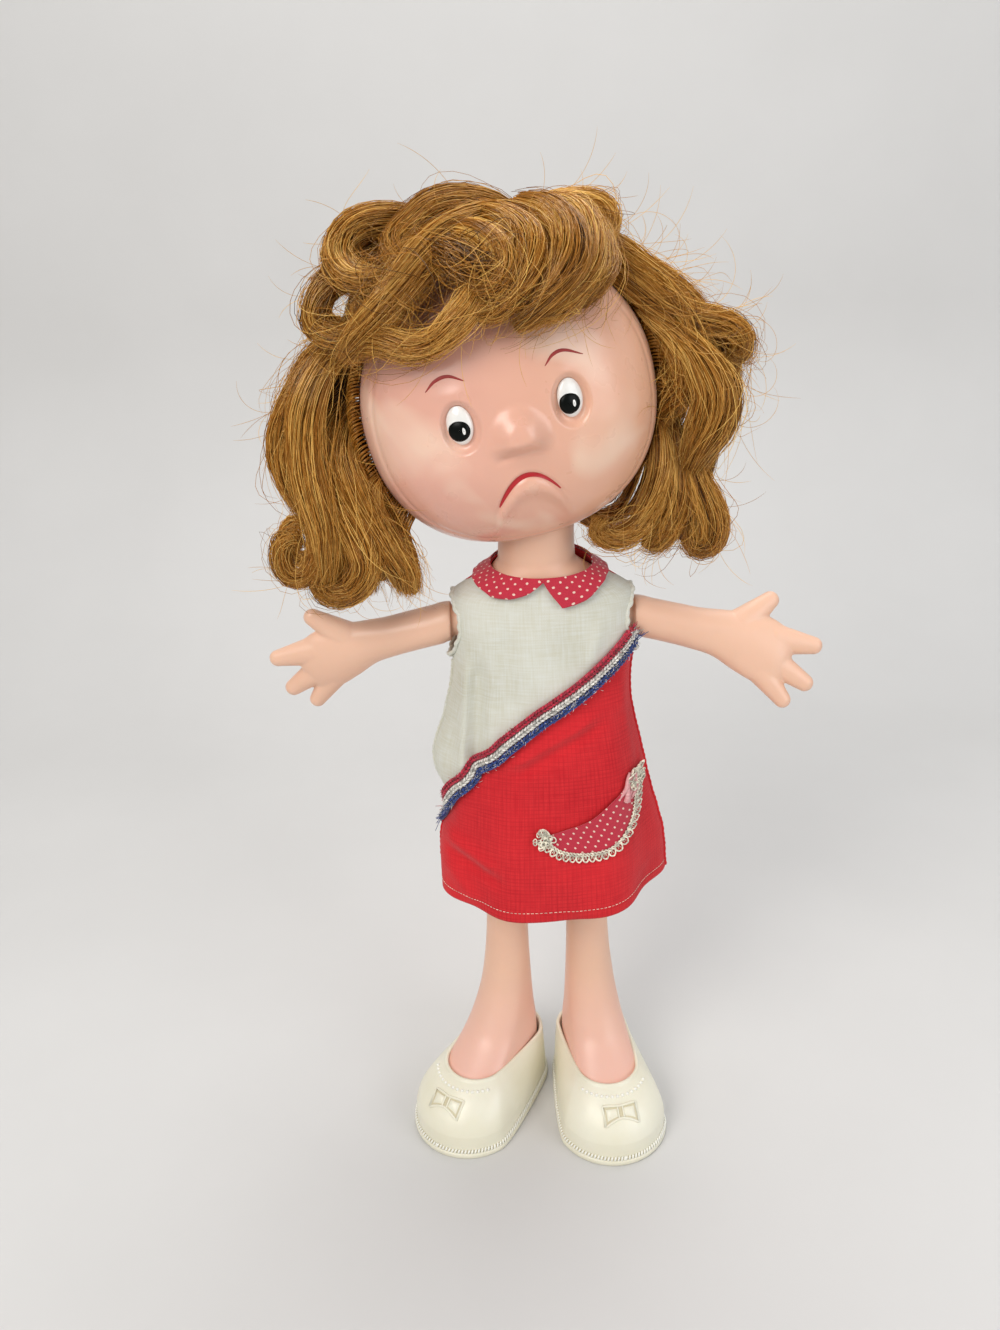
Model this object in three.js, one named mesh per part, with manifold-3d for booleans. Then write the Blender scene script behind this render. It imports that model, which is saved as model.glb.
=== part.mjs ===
// Two-faced play doll in a sleeveless dress: a big round head with a sad face on the front and a
// smiling face on the back, turned about on the neck to change the mood. Millimetres, +Z up, the
// sad face looks along -Y, and the doll stands on z = 0 with the middle of its box over the origin.
import * as THREE from "three";
import { mergeVertices } from "three/addons/utils/BufferGeometryUtils.js";
import Module from "manifold-3d";

const wasm = await Module();
wasm.setup();

// Driving dimensions
const clearance = 0.35; // between pieces that touch on the real doll
const shellWall = 2.2; // moulded vinyl
const clothThick = 1.2; // linen with its seam allowance
const facetTolerance = 0.04; // facets this close to flat are joined
const hairTolerance = 0.22;

const headHalfWidth = 58.5;
const headHalfHeight = 55.5;
const headHalfDepth = 46;
const headFullness = 2.3; // 2 is an ellipse, more is squarer
const topFullness = 2.05; // of the outline's upper half
const headTilt = 11.5; // degrees towards the doll's right, as it stands
const headYaw = 5; // degrees
const tiltReach = 14; // degrees, the furthest that the neck opening lets the head rock

const neckRadius = 16;
const neckLean = -2; // the neck stands this far to the doll's right of the torso's middle
const neckPivotZ = 301; // height of the plane of the head's opening
const neckTopRise = 10; // how far the neck post stands up inside the head
const neckBoreRadius = 6.4;
const plugFlangeRadius = 19;
const plugFlangeThick = 2.2;
const plugBarbRadius = 8.2;

const hipZ = 150; // underside of the torso
const hipSpread = 19.6; // leg axis from the middle
const footShift = 3; // the foot stands outward of the leg's axis
const legBack = 5; // leg axis behind the middle
const shoulderX = 39; // face of the shoulder boss
const shoulderZ = 259.5;
const torsoHalfDepth = 23.4; // the fullest, at the hips
const neckFootRise = 27.5; // foot of the neck above the shoulders
const armDroop = 16.5; // degrees between the peg and the limb
const rightArmBack = 12; // degrees that the arm is turned back on its peg
const leftArmBack = -24;
const pegRadius = 6.6;
const pegLength = 7;
const pegFlangeRadius = 8.4;
const bossRadius = 9.6;
const socketWall = 2.8; // of the torso round each peg

const shoeToeRadius = 28;
const shoeHeelRadius = 21;
const shoeReach = 35; // between the centres of the toe and heel rounds
const shoeHeight = 38;
const soleThick = 3.4;
const weltStep = 1.1; // how far the sole stands out past the upper
const shoeWall = 2;
const legRadius = 9.6; // at the hip
const rightToeOut = 35; // degrees
const leftToeOut = 9.5;

const hemZ = 128;
const hemHalfWidth = 54;
const hemHalfDepth = 38;
const hemLift = 6; // the hem is higher at the sides
const necklineZ = 282; // at the front
const necklineRise = 0.16; // slope of the neckline towards the back
const necklineRadius = 17.4;
const dressFullness = 2.15; // squareness of its cross-section
const armholeHalfWidth = 12;
const armholeHalfHeight = 14.5;
const seamGap = 0.3;
const trimGap = 0.95; // under trim that lies across the corners of the cloth's facets
const snapInset = 3.6; // from the outside of the dress to the base of a snap fastener
const snapHeights = [246, 214, 182];

const braidRadius = 1.35;
const braidPitch = 3.1;
const lockSides = 5;

const rad = THREE.MathUtils.degToRad;
const lerp = THREE.MathUtils.lerp;
const V = (x, y, z) => new THREE.Vector3(x, y, z);

// Solids

// A closed geometry as a solid for the boolean operations, whichever way its faces were wound.
function solidOf(geometry) {
  const bare = new THREE.BufferGeometry().setAttribute(
    "position",
    (geometry.index ? geometry.toNonIndexed() : geometry).getAttribute("position"),
  );
  const merged = mergeVertices(bare, 1e-3);
  const place = merged.attributes.position;
  const triVerts = new Uint32Array(merged.index.array);
  let volume = 0;
  const [a, b, c] = [V(), V(), V()];
  for (let i = 0; i < triVerts.length; i += 3) {
    a.fromBufferAttribute(place, triVerts[i]);
    b.fromBufferAttribute(place, triVerts[i + 1]);
    c.fromBufferAttribute(place, triVerts[i + 2]);
    volume += a.dot(b.cross(c));
  }
  if (volume < 0) triVerts.reverse();
  return new wasm.Manifold(
    new wasm.Mesh({ numProp: 3, vertProperties: place.array, triVerts }),
  );
}

function geometryOf(solid, tolerance = 0) {
  const mesh = (tolerance ? solid.simplify(tolerance) : solid).getMesh();
  return new THREE.BufferGeometry()
    .setAttribute("position", new THREE.BufferAttribute(mesh.vertProperties, 3))
    .setIndex(new THREE.BufferAttribute(mesh.triVerts, 1));
}

// A closed skin over rings of equally many points, with each end closed by a fan to its middle.
function skin(rings) {
  const sides = rings[0].length;
  const points = rings.flat();
  const index = [];
  for (let i = 0; i + 1 < rings.length; i++)
    for (let j = 0; j < sides; j++) {
      const next = (j + 1) % sides;
      const [p, q] = [i * sides + j, i * sides + next];
      index.push(p, q, q + sides, p, q + sides, p + sides);
    }
  for (const [ring, first] of [
    [rings[0], 0],
    [rings.at(-1), (rings.length - 1) * sides],
  ]) {
    const middle = ring.reduce((sum, p) => sum.add(p), V(0, 0, 0)).divideScalar(sides);
    points.push(middle);
    for (let j = 0; j < sides; j++) {
      const next = (j + 1) % sides;
      const fan = [points.length - 1, first + next, first + j];
      index.push(...(first === 0 ? fan : fan.reverse()));
    }
  }
  return new THREE.BufferGeometry().setFromPoints(points).setIndex(index);
}

// A sheet of cloth as a closed plate: place(s, t) for s and t from 0 to 1 gives its outer point and
// the direction in which it is thick.
function sheet(place, across, along, thick = clothThick) {
  const points = [];
  for (const depth of [0, thick])
    for (let i = 0; i <= across; i++)
      for (let j = 0; j <= along; j++) {
        const { point, out } = place(i / across, j / along);
        points.push(point.clone().addScaledVector(out, -depth));
      }
  const layer = (across + 1) * (along + 1);
  const at = (i, j, k) => k * layer + i * (along + 1) + j;
  const index = [];
  const quad = (p, q, r, s) => index.push(p, q, r, p, r, s);
  for (let i = 0; i < across; i++)
    for (let j = 0; j < along; j++) {
      quad(at(i, j, 0), at(i + 1, j, 0), at(i + 1, j + 1, 0), at(i, j + 1, 0));
      quad(at(i, j, 1), at(i, j + 1, 1), at(i + 1, j + 1, 1), at(i + 1, j, 1));
    }
  for (let i = 0; i < across; i++) {
    quad(at(i, 0, 0), at(i, 0, 1), at(i + 1, 0, 1), at(i + 1, 0, 0));
    quad(at(i, along, 0), at(i + 1, along, 0), at(i + 1, along, 1), at(i, along, 1));
  }
  for (let j = 0; j < along; j++) {
    quad(at(0, j, 0), at(0, j + 1, 0), at(0, j + 1, 1), at(0, j, 1));
    quad(at(across, j, 0), at(across, j, 1), at(across, j + 1, 1), at(across, j + 1, 0));
  }
  return new THREE.BufferGeometry().setFromPoints(points).setIndex(index);
}

// A round bar along Z, from one height to another.
function bar(radius, low, high, sides = 14) {
  return solidOf(
    new THREE.CylinderGeometry(radius, radius, high - low, sides)
      .rotateX(Math.PI / 2)
      .translate(0, 0, (low + high) / 2),
  );
}

function block(low, high) {
  const size = high.clone().sub(low);
  const middle = low.clone().add(high).divideScalar(2);
  return solidOf(new THREE.BoxGeometry(...size).translate(...middle));
}

function revolved(profile, sides = 18) {
  const points = profile.map(([radius, z]) => new THREE.Vector2(radius, z));
  return solidOf(new THREE.LatheGeometry(points, sides).rotateX(Math.PI / 2));
}

function united(solids) {
  return solids.reduce((all, next) => all.add(next));
}

// The solid moved by a matrix, through its geometry.
function moved(solid, matrix) {
  return solidOf(geometryOf(solid).toNonIndexed().applyMatrix4(matrix));
}

// A value read from rows of [height, ...values], along straight lines between the rows.
function fromRows(rows, z, column) {
  if (z <= rows[0][0]) return rows[0][column];
  for (let i = 0; i + 1 < rows.length; i++)
    if (z <= rows[i + 1][0]) {
      const share = (z - rows[i][0]) / (rows[i + 1][0] - rows[i][0]);
      return lerp(rows[i][column], rows[i + 1][column], share);
    }
  return rows.at(-1)[column];
}

// Head

// Half the outline's width and height in a direction round the face.
function headOutline(angle) {
  const power = 2 / (Math.sin(angle) < 0 ? headFullness : topFullness);
  const bent = (v) => Math.sign(v) * Math.abs(v) ** power;
  return [headHalfWidth * bent(Math.cos(angle)), headHalfHeight * bent(Math.sin(angle))];
}

const eyeX = 20.2;
const eyeZ = 0.7;
const eyeHalfWidth = 4.6;
const eyeHalfHeight = 7;
const mouthHalfWidth = 12;
const featureTolerance = 0.2; // of the facets along the features of a face
const featureRounds = 4;

// Height of the mouth line at x: an arch when sad, a bow when smiling.
function mouthZ(x, mood) {
  const drop = (x / mouthHalfWidth) ** 2 * 10;
  return mood === "sad" ? -23.3 - drop : -33 + drop;
}

const bump = (dx, dz, wide, high) => Math.exp(-((dx / wide) ** 2) - (dz / high) ** 2);

// How far the moulded features stand out from the smooth head, at x and z from its middle.
function relief(x, z, mood) {
  const under = THREE.MathUtils.smoothstep(z, -14.2, -11.2);
  const noseWidth = 6.2 + 2.2 * THREE.MathUtils.smoothstep(-z, 0, 11);
  let out = 8.4 * bump(x, z + 7.4, noseWidth, 8.2) * (0.3 + 0.7 * under);
  out -= 0.9 * bump(x, z + 14.6, 7.5, 1.3);
  for (const side of [-1, 1]) {
    const [dx, dz] = [x - side * eyeX, z - eyeZ];
    out -= 2 * Math.exp(-(((dx / 7.4) ** 2 + ((dz + 0.4) / 11.5) ** 2) ** 2));
    out += 0.7 * bump(dx, dz - 10.2, 6.5, 2.6);
    const inside = 1 - (dx / eyeHalfWidth) ** 2 - (dz / eyeHalfHeight) ** 2;
    if (inside > 0) out += 2.3 * Math.sqrt(inside);
  }
  const line = z - mouthZ(x, mood);
  const fade = THREE.MathUtils.smoothstep(mouthHalfWidth + 3 - Math.abs(x), 0, 4);
  out -= fade * Math.exp(-((line / 1.1) ** 2));
  const lipSide = mood === "sad" ? -1 : 1;
  out += 2 * fade * bump(0, line - lipSide * 5, 1, 4);
  return out;
}

// How far a point of the smooth head moves out for the cheeks and the features of its face.
function faceLift(point) {
  const sad = point.y < 0;
  const x = sad ? point.x : -point.x;
  const cheeks = bump(x - 33, point.z + 16, 14, 12) + bump(x + 33, point.z + 16, 14, 12);
  const fade = Math.min(1, (Math.abs(point.y) / headHalfDepth) * 1.6);
  return (cheeks + relief(x, point.z, sad ? "sad" : "smiling")) * fade;
}

// The point of the smooth head in a direction round the face, a share of the way to its rim.
function headPoint(angle, share, side, grow = 0) {
  const [w, h] = headOutline(angle);
  const rho = Math.sin((share * Math.PI) / 2);
  const dome = (1 - rho ** headFullness) ** (1 / headFullness);
  const stretch = 1 + grow / headHalfHeight;
  return V(w * rho * stretch, side * (headHalfDepth + grow) * dome, h * rho * stretch);
}

// The same surface, where the line from the head's middle through a point meets it.
function ontoHead(point) {
  const fullness = point.z < 0 ? headFullness : topFullness;
  const across = Math.abs(point.x / headHalfWidth) ** fullness;
  const up = Math.abs(point.z / headHalfHeight) ** fullness;
  const deep = Math.abs(point.y / headHalfDepth) ** headFullness;
  const level = (across + up) ** (headFullness / fullness) + deep;
  return point.divideScalar(level ** (1 / headFullness));
}

// The closed head without its features, grown or shrunk all over by a thickness.
function headSkin(around, steps, grow = 0) {
  const rings = [];
  const ring = (share, side) =>
    Array.from({ length: around }, (_, j) => headPoint((j / around) * 2 * Math.PI, share, side, grow));
  for (let i = 1; i <= steps; i++) rings.push(ring(i / steps, -1));
  for (let i = steps - 1; i >= 1; i--) rings.push(ring(i / steps, 1));
  const geometry = skin(rings);
  const place = geometry.getAttribute("position");
  place.setXYZ(place.count - 2, ...headPoint(0, 0, -1, grow));
  place.setXYZ(place.count - 1, ...headPoint(0, 0, 1, grow));
  return geometry;
}

// Both faces, with facets split wherever their straight edges would miss a feature by too much.
function facesSolid() {
  const coarse = headSkin(36, 10);
  const place = coarse.getAttribute("position");
  const points = Array.from({ length: place.count }, (_, i) => V().fromBufferAttribute(place, i));
  const lifts = points.map(faceLift);
  let corners = [...coarse.index.array];
  const missed = (a, b) =>
    [0.25, 0.5, 0.75].some((share) => {
      const between = ontoHead(points[a].clone().lerp(points[b], share));
      return Math.abs(faceLift(between) - lerp(lifts[a], lifts[b], share)) > featureTolerance;
    });
  for (let round = 0; round < featureRounds; round++) {
    const middles = new Map();
    const middle = (a, b) => {
      const key = Math.min(a, b) * 1e6 + Math.max(a, b);
      if (!middles.has(key)) {
        const split = missed(a, b);
        if (split) {
          points.push(ontoHead(points[a].clone().lerp(points[b], 0.5)));
          lifts.push(faceLift(points.at(-1)));
        }
        middles.set(key, split ? points.length - 1 : -1);
      }
      return middles.get(key);
    };
    const next = [];
    for (let i = 0; i < corners.length; i += 3) {
      // The corners with each split edge's middle between them, as one outline cut into triangles.
      const outline = [];
      for (let k = 0; k < 3; k++) {
        const [a, b] = [corners[i + k], corners[i + ((k + 1) % 3)]];
        outline.push({ at: a, corner: true });
        if (middle(a, b) >= 0) outline.push({ at: middle(a, b), corner: false });
      }
      // A corner between two split edges is cut off first.
      while (outline.length > 3) {
        const count = outline.length;
        const cut = outline.findIndex(
          (spot, k) =>
            spot.corner && !outline[(k + 1) % count].corner && !outline[(k + count - 1) % count].corner,
        );
        const k = cut >= 0 ? cut : outline.findIndex((spot) => spot.corner);
        next.push(outline[(k + count - 1) % count].at, outline[k].at, outline[(k + 1) % count].at);
        outline.splice(k, 1);
      }
      next.push(...outline.map((spot) => spot.at));
    }
    corners = next;
  }
  points.forEach((point, i) => (point.y += Math.sign(point.y) * lifts[i]));
  return solidOf(new THREE.BufferGeometry().setFromPoints(points).setIndex(corners));
}

const headRise = headHalfHeight - shellWall - 0.4; // middle of the head above the pivot
const openingRadius =
  (neckRadius + (shellWall / 2) * Math.sin(rad(tiltReach)) + clearance) /
  Math.cos(rad(tiltReach));

function headShell() {
  const raised = new THREE.Matrix4().makeTranslation(0, 0, headRise);
  const outer = moved(facesSolid(), raised);
  const inner = moved(solidOf(headSkin(16, 4, -shellWall)), raised);
  return outer.subtract(inner).subtract(bar(openingRadius, -20, 12, 24));
}

// Hair

const rootRibs = 34;
const rootStart = rad(-38); // the rooted band runs over the top from here to the same on the left
const rootEnd = rad(218);
const rootHalfWidth = 9;
const rootBase = 1.1;
const rootRib = 1.1;

// The band of rooted tufts round the rim, with a rib for each row of plugs.
function hairRoots() {
  const rings = [];
  for (let i = 0; i <= rootRibs * 2; i++) {
    const angle = lerp(rootStart, rootEnd, i / (rootRibs * 2));
    const [w, h] = headOutline(angle);
    const reach = Math.hypot(w, h);
    const high = rootBase + (i % 2 ? rootRib : 0);
    const at = (offset, y) => V((w / reach) * (reach + offset), y, (h / reach) * (reach + offset));
    rings.push([
      at(clearance, -rootHalfWidth),
      at(clearance, rootHalfWidth),
      at(clearance + high, rootHalfWidth),
      at(clearance + high, -rootHalfWidth),
    ]);
  }
  return moved(solidOf(skin(rings)), new THREE.Matrix4().makeTranslation(0, 0, headRise));
}

// The space that the head and the rooted band need, which the loose hair keeps clear of.
function headRoom() {
  const head = solidOf(headSkin(20, 6, clearance + 1.2));
  const rings = [];
  const steps = 40;
  const high = 2 * clearance + rootBase + rootRib;
  for (let i = 0; i <= steps; i++) {
    const angle = lerp(rootStart - 0.05, rootEnd + 0.05, i / steps);
    const [w, h] = headOutline(angle);
    const reach = Math.hypot(w, h);
    const half = rootHalfWidth + clearance;
    const at = (offset, y) => V((w / reach) * (reach + offset), y, (h / reach) * (reach + offset));
    rings.push([at(-3, -half), at(-3, half), at(high, half), at(high, -half)]);
  }
  return head.add(solidOf(skin(rings)));
}

// One lock of hair: a flattened tube along its points, each [x, y, z, radius] from the head's middle.
function lock(points, flat = 0.8) {
  const curve = new THREE.CatmullRomCurve3(points.map(([x, y, z]) => V(x, y, z)));
  const steps = points.length + 1;
  const frames = curve.computeFrenetFrames(steps);
  const rings = [];
  for (let i = 0; i <= steps; i++) {
    const share = i / steps;
    const middle = curve.getPoint(share);
    const spot = share * (points.length - 1);
    const before = Math.min(points.length - 2, Math.floor(spot));
    const wide = lerp(points[before][3], points[before + 1][3], spot - before);
    const ends = Math.sqrt(Math.max(0.12, 1 - (2 * share - 1) ** 8));
    rings.push(
      Array.from({ length: lockSides }, (_, j) => {
        const turn = (j / lockSides) * 2 * Math.PI;
        return middle
          .clone()
          .addScaledVector(frames.normals[i], wide * ends * Math.cos(turn))
          .addScaledVector(frames.binormals[i], wide * flat * ends * Math.sin(turn));
      }),
    );
  }
  return solidOf(skin(rings));
}

// Locks over the crown on one side of the parting, falling towards the face on that side (y < 0 is
// the front).
const crownLocks = [
  [[-54, 0, 28, 10], [-68, -4, 38, 13], [-66, -8, 54, 13], [-50, -18, 58, 11], [-42, -36, 45, 8]],
  [[-42, 0, 50, 12], [-50, -6, 64, 13], [-36, -14, 67, 12], [-27, -32, 58, 10], [-31, -46, 37, 8]],
  [[-20, 0, 57, 12], [-24, -8, 68, 13], [-12, -22, 64, 12], [-6, -40, 50, 9], [-14, -48, 36, 7]],
  [[4, 0, 59, 12], [4, -8, 68, 12], [12, -24, 61, 11], [10, -42, 45, 9], [2, -49, 34, 6]],
  [[28, 0, 54, 11], [34, -6, 60, 11], [34, -20, 54, 11], [26, -38, 43, 9], [16, -48, 33, 6]],
  [[46, 0, 41, 9], [52, -6, 51, 10], [48, -16, 47, 9], [40, -34, 38, 7]],
];
const rightSideLocks = [
  [[-64, 0, 32, 12], [-80, -4, 20, 14], [-88, -6, 0, 13], [-93, -6, -18, 13], [-100, -4, -32, 9]],
  [[-60, 2, 10, 9], [-72, 4, -6, 12], [-80, 4, -24, 14], [-82, 2, -40, 13], [-84, 0, -54, 8]],
  [[-58, -4, -2, 9], [-64, -8, -20, 12], [-70, -8, -36, 12], [-71, -6, -50, 10], [-68, -2, -60, 7]],
  [[-62, 6, 30, 11], [-76, 10, 22, 12], [-84, 12, 6, 12], [-88, 10, -12, 11], [-90, 8, -30, 8]],
  [[-62, -8, 14, 9], [-74, -12, 0, 10], [-82, -12, -16, 11], [-88, -10, -34, 10], [-92, -6, -48, 7]],
];
const leftSideLocks = [
  [[54, 0, 36, 11], [68, -6, 33, 12], [82, -8, 18, 12], [90, -6, 2, 11], [88, -4, -14, 8]],
  [[60, 2, 16, 9], [72, 2, 6, 12], [80, 0, -12, 14], [80, 0, -34, 14], [74, 0, -54, 12], [68, 0, -70, 8]],
  [[58, 4, -8, 8], [64, 6, -24, 11], [66, 8, -42, 12], [58, 8, -56, 10], [44, 8, -62, 8], [32, 8, -62, 6]],
  [[58, -4, 8, 8], [72, -8, -4, 10], [80, -10, -22, 11], [84, -8, -42, 10], [78, -6, -60, 8]],
  [[58, 8, 32, 9], [74, 12, 20, 10], [84, 12, 0, 11], [86, 10, -22, 10], [84, 8, -40, 8]],
];

const mirroredFrontToBack = new THREE.Matrix4().makeScale(1, -1, 1);

function hairNodes() {
  const cap = solidOf(headSkin(20, 6, 6)).intersect(block(V(-80, -80, 36), V(80, 20, 90)));
  const front = united([cap, ...crownLocks.map((points) => lock(points))]);
  const back = moved(front, mirroredFrontToBack);
  const room = headRoom();
  const raised = new THREE.Matrix4().makeTranslation(0, 0, headRise);
  const far = 200;
  const sideZ = 27; // the bunches start below this height and the crown above it
  const loose = (solid, low, high) =>
    moved(solid.subtract(room).intersect(block(low, high)), raised);
  const biggest = (solid) =>
    solid.decompose().reduce((best, part) => (part.volume() > best.volume() ? part : best));
  const half = clearance / 2;
  const crown = V(-far, -far, sideZ + half);
  return {
    hair_crown_front: biggest(loose(front, crown, V(far, -half, far))),
    hair_crown_back: biggest(loose(back, V(-far, half, sideZ + half), V(far, far, far))),
    hair_bunch_right_side: biggest(
      loose(united(rightSideLocks.map((p) => lock(p))), V(-far, -far, -far), V(0, far, sideZ - half)),
    ),
    hair_bunch_left_side: biggest(
      loose(united(leftSideLocks.map((p) => lock(p))), V(0, -far, -far), V(far, far, sideZ - half)),
    ),
  };
}

// Torso, neck and limbs

// The moulded torso by height: its half-width as a share of the shoulders', its half-depth as a share
// of the hips', and how far it has leaned over to the neck. The dress rests on the shoulders.
const torsoRows = [
  [hipZ, 0.897, 0.94, 0],
  [lerp(hipZ, shoulderZ, 0.07), 0.949, 1, 0],
  [lerp(hipZ, shoulderZ, 0.256), 0.933, 0.983, 0],
  [lerp(hipZ, shoulderZ, 0.502), 0.795, 0.855, 0],
  [lerp(hipZ, shoulderZ, 0.776), 0.872, 0.778, 0],
  [shoulderZ - neckFootRise * 0.055, 0.949, 0.7, 0],
  [shoulderZ + neckFootRise * 0.273, 0.974, 0.795, 0],
  [shoulderZ + neckFootRise * 0.473, 0.969, 0.769, 0],
  [shoulderZ + neckFootRise * 0.655, 0.779, 0.744, 0],
  [shoulderZ + neckFootRise * 0.855, 0.538, 0.726, 0.5],
].map(([z, w, d, lean]) => [z, w * shoulderX, d * torsoHalfDepth, lean * neckLean]);
torsoRows.push([shoulderZ + neckFootRise, neckRadius + 0.2, neckRadius, neckLean]);
torsoRows.push([neckPivotZ + neckTopRise, neckRadius - 0.3, neckRadius - 0.3, neckLean]);

function ovalRing(halfWidth, halfDepth, z, sides, fullness = 2.2) {
  return Array.from({ length: sides }, (_, j) => {
    const turn = (j / sides) * 2 * Math.PI;
    const bent = (v) => Math.sign(v) * Math.abs(v) ** (2 / fullness);
    return V(halfWidth * bent(Math.cos(turn)), halfDepth * bent(Math.sin(turn)), z);
  });
}

// The frame of a shoulder: X along the peg and away from the torso.
function shoulderFrame(side, back = 0) {
  return new THREE.Matrix4()
    .makeTranslation(side * shoulderX, 0, shoulderZ)
    .multiply(new THREE.Matrix4().makeScale(side, 1, 1))
    .multiply(new THREE.Matrix4().makeRotationX(rad(back)));
}

const alongArm = new THREE.Matrix4().makeRotationY(Math.PI / 2);

function torso() {
  const sides = 16;
  const ring = ([z, w, d, shift], inset) => {
    const oval = ovalRing(w - inset, d - inset, z, sides, shift === neckLean ? 2 : dressFullness);
    return oval.map((point) => point.setX(point.x + shift));
  };
  const outer = solidOf(skin(torsoRows.map((row) => ring(row, 0))));
  const top = neckPivotZ + neckTopRise;
  const hollow = torsoRows
    .filter((row, i) => i !== 1)
    .map(([z, ...rest]) => {
      const wall = z === hipZ ? shellWall : z === top ? -shellWall : 0;
      return [z + wall, ...rest];
    });
  const inner = solidOf(skin(hollow.map((row) => ring(row, shellWall))));
  const pegHole = pegRadius + clearance;
  const flangeRoom = pegFlangeRadius + clearance;
  let body = outer.subtract(inner);
  for (const side of [-1, 1]) {
    const shoulder = shoulderFrame(side).multiply(alongArm);
    const hip = new THREE.Matrix4().makeTranslation(side * hipSpread, legBack, hipZ);
    const hipSeat = bar(flangeRoom + shellWall, 0, socketWall);
    body = body
      .add(moved(bar(bossRadius, -socketWall, 0), shoulder))
      .subtract(moved(bar(flangeRoom, -12, -socketWall), shoulder))
      .subtract(moved(bar(pegHole, -4, 3), shoulder))
      .add(moved(hipSeat, hip).intersect(outer))
      .subtract(moved(bar(flangeRoom, socketWall, pegLength + 2), hip))
      .subtract(moved(bar(pegHole, -5, socketWall + 1), hip));
  }
  return body.subtract(bar(neckBoreRadius + clearance, top - 8, top + 5).translate(neckLean, 0, 0));
}

// The flanged plug that holds the head down on the neck and turns in it.
function neckPlug() {
  const top = neckTopRise + clearance;
  const under = top - clearance - shellWall - clearance;
  return revolved([
    [0, under - 6],
    [neckBoreRadius - 1, under - 6],
    [plugBarbRadius, under - 1.5],
    [plugBarbRadius, under],
    [neckBoreRadius, under],
    [neckBoreRadius, top],
    [plugFlangeRadius, top],
    [plugFlangeRadius, top + plugFlangeThick],
    [neckBoreRadius, top + plugFlangeThick + 1.6],
    [0, top + plugFlangeThick + 1.6],
  ]);
}

// A limb's peg: a groove that sits in the torso's wall, and a flange inside, on the axis Z from 0 down.
function peg() {
  const wall = socketWall + clearance;
  return revolved(
    [
      [0, 2],
      [pegRadius, 2],
      [pegRadius, -wall],
      [pegFlangeRadius, -wall],
      [pegRadius - 0.6, -pegLength],
      [0, -pegLength],
    ].reverse(),
    12,
  );
}

// Rows along the arm: [distance, middle height, half height, half depth].
const armRows = [
  [clearance, 0, 8.7, 8.7],
  [7, 0.4, 8.8, 8.8],
  [18, 0.9, 8.9, 8.5],
  [28, 1.2, 9.2, 8],
  [38, 1.6, 10.4, 7.4],
  [48, 0.6, 13, 7.2],
  [58, -0.6, 14.6, 6.8],
  [66, -2, 13.2, 5.6],
  [70, -2.6, 9, 3.6],
];
// Fingers as [start, end] of [distance, height, radius] in the hand's plane.
const fingers = {
  thumb: [[47, 8, 7.2], [56.5, 21, 4]],
  index: [[62, 5, 7], [79.5, 6.6, 3.9]],
  middle: [[63, -4, 6.4], [79.5, -10, 3.9]],
  little: [[60, -10, 6], [72, -19.5, 3.7]],
};

// A round-ended taper between two spheres in the plane of the hand.
function finger([[x0, z0, r0], [x1, z1, r1]], depth = 0.85) {
  const rings = [];
  const from = V(x0, 0, z0);
  const to = V(x1, 0, z1);
  const ahead = to.clone().sub(from).normalize();
  const across = V(0, 1, 0).cross(ahead);
  const stops = [
    [0, -0.8, 0.6],
    [0, 0, 1],
    [1, 0, 1],
    [1, 0.62, 0.79],
    [1, 0.93, 0.38],
  ];
  for (const [share, past, shrink] of stops) {
    const radius = lerp(r0, r1, share);
    const middle = from.clone().lerp(to, share).addScaledVector(ahead, past * radius);
    rings.push(
      Array.from({ length: 7 }, (_, j) => {
        const turn = (j / 7) * 2 * Math.PI;
        return middle
          .clone()
          .addScaledVector(across, radius * shrink * Math.cos(turn))
          .add(V(0, radius * shrink * depth * Math.sin(turn), 0));
      }),
    );
  }
  return solidOf(skin(rings));
}

// An arm, hollow from its peg, in its shoulder's frame.
function arm() {
  const droop = new THREE.Matrix4().makeRotationY(rad(armDroop));
  const section = ([x, middle, high, deep], inset, bent) =>
    Array.from({ length: 12 }, (_, j) => {
      const turn = (j / 12) * 2 * Math.PI;
      const point = V(x, (deep - inset) * Math.cos(turn), middle + (high - inset) * Math.sin(turn));
      return bent ? point.applyMatrix4(droop) : point;
    });
  const limb = solidOf(skin(armRows.map((row, i) => section(row, 0, i > 0))));
  const hollowRows = armRows.slice(1, -3);
  const hollow = solidOf(skin(hollowRows.map((row) => section(row, socketWall, true))));
  const vent = bar(pegRadius - 2.4, -pegLength - 2, 12, 10);
  const hand = united(Object.values(fingers).map((f) => finger(f)));
  return united([limb, moved(hand, droop), moved(peg(), alongArm)])
    .subtract(hollow)
    .subtract(moved(vent, alongArm));
}

const footSides = 16;

// The outline of a foot or shoe at one height: round a toe circle and a heel circle.
function footRing(toeRadius, reach, heelRadius, z) {
  return Array.from({ length: footSides }, (_, j) => {
    const turn = (j / footSides) * 2 * Math.PI;
    const ahead = Math.cos(turn) > -0.15;
    const radius = ahead ? toeRadius : heelRadius;
    return V(radius * Math.sin(turn), -(radius * Math.cos(turn) + (ahead ? reach : 0)), z);
  });
}

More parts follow.
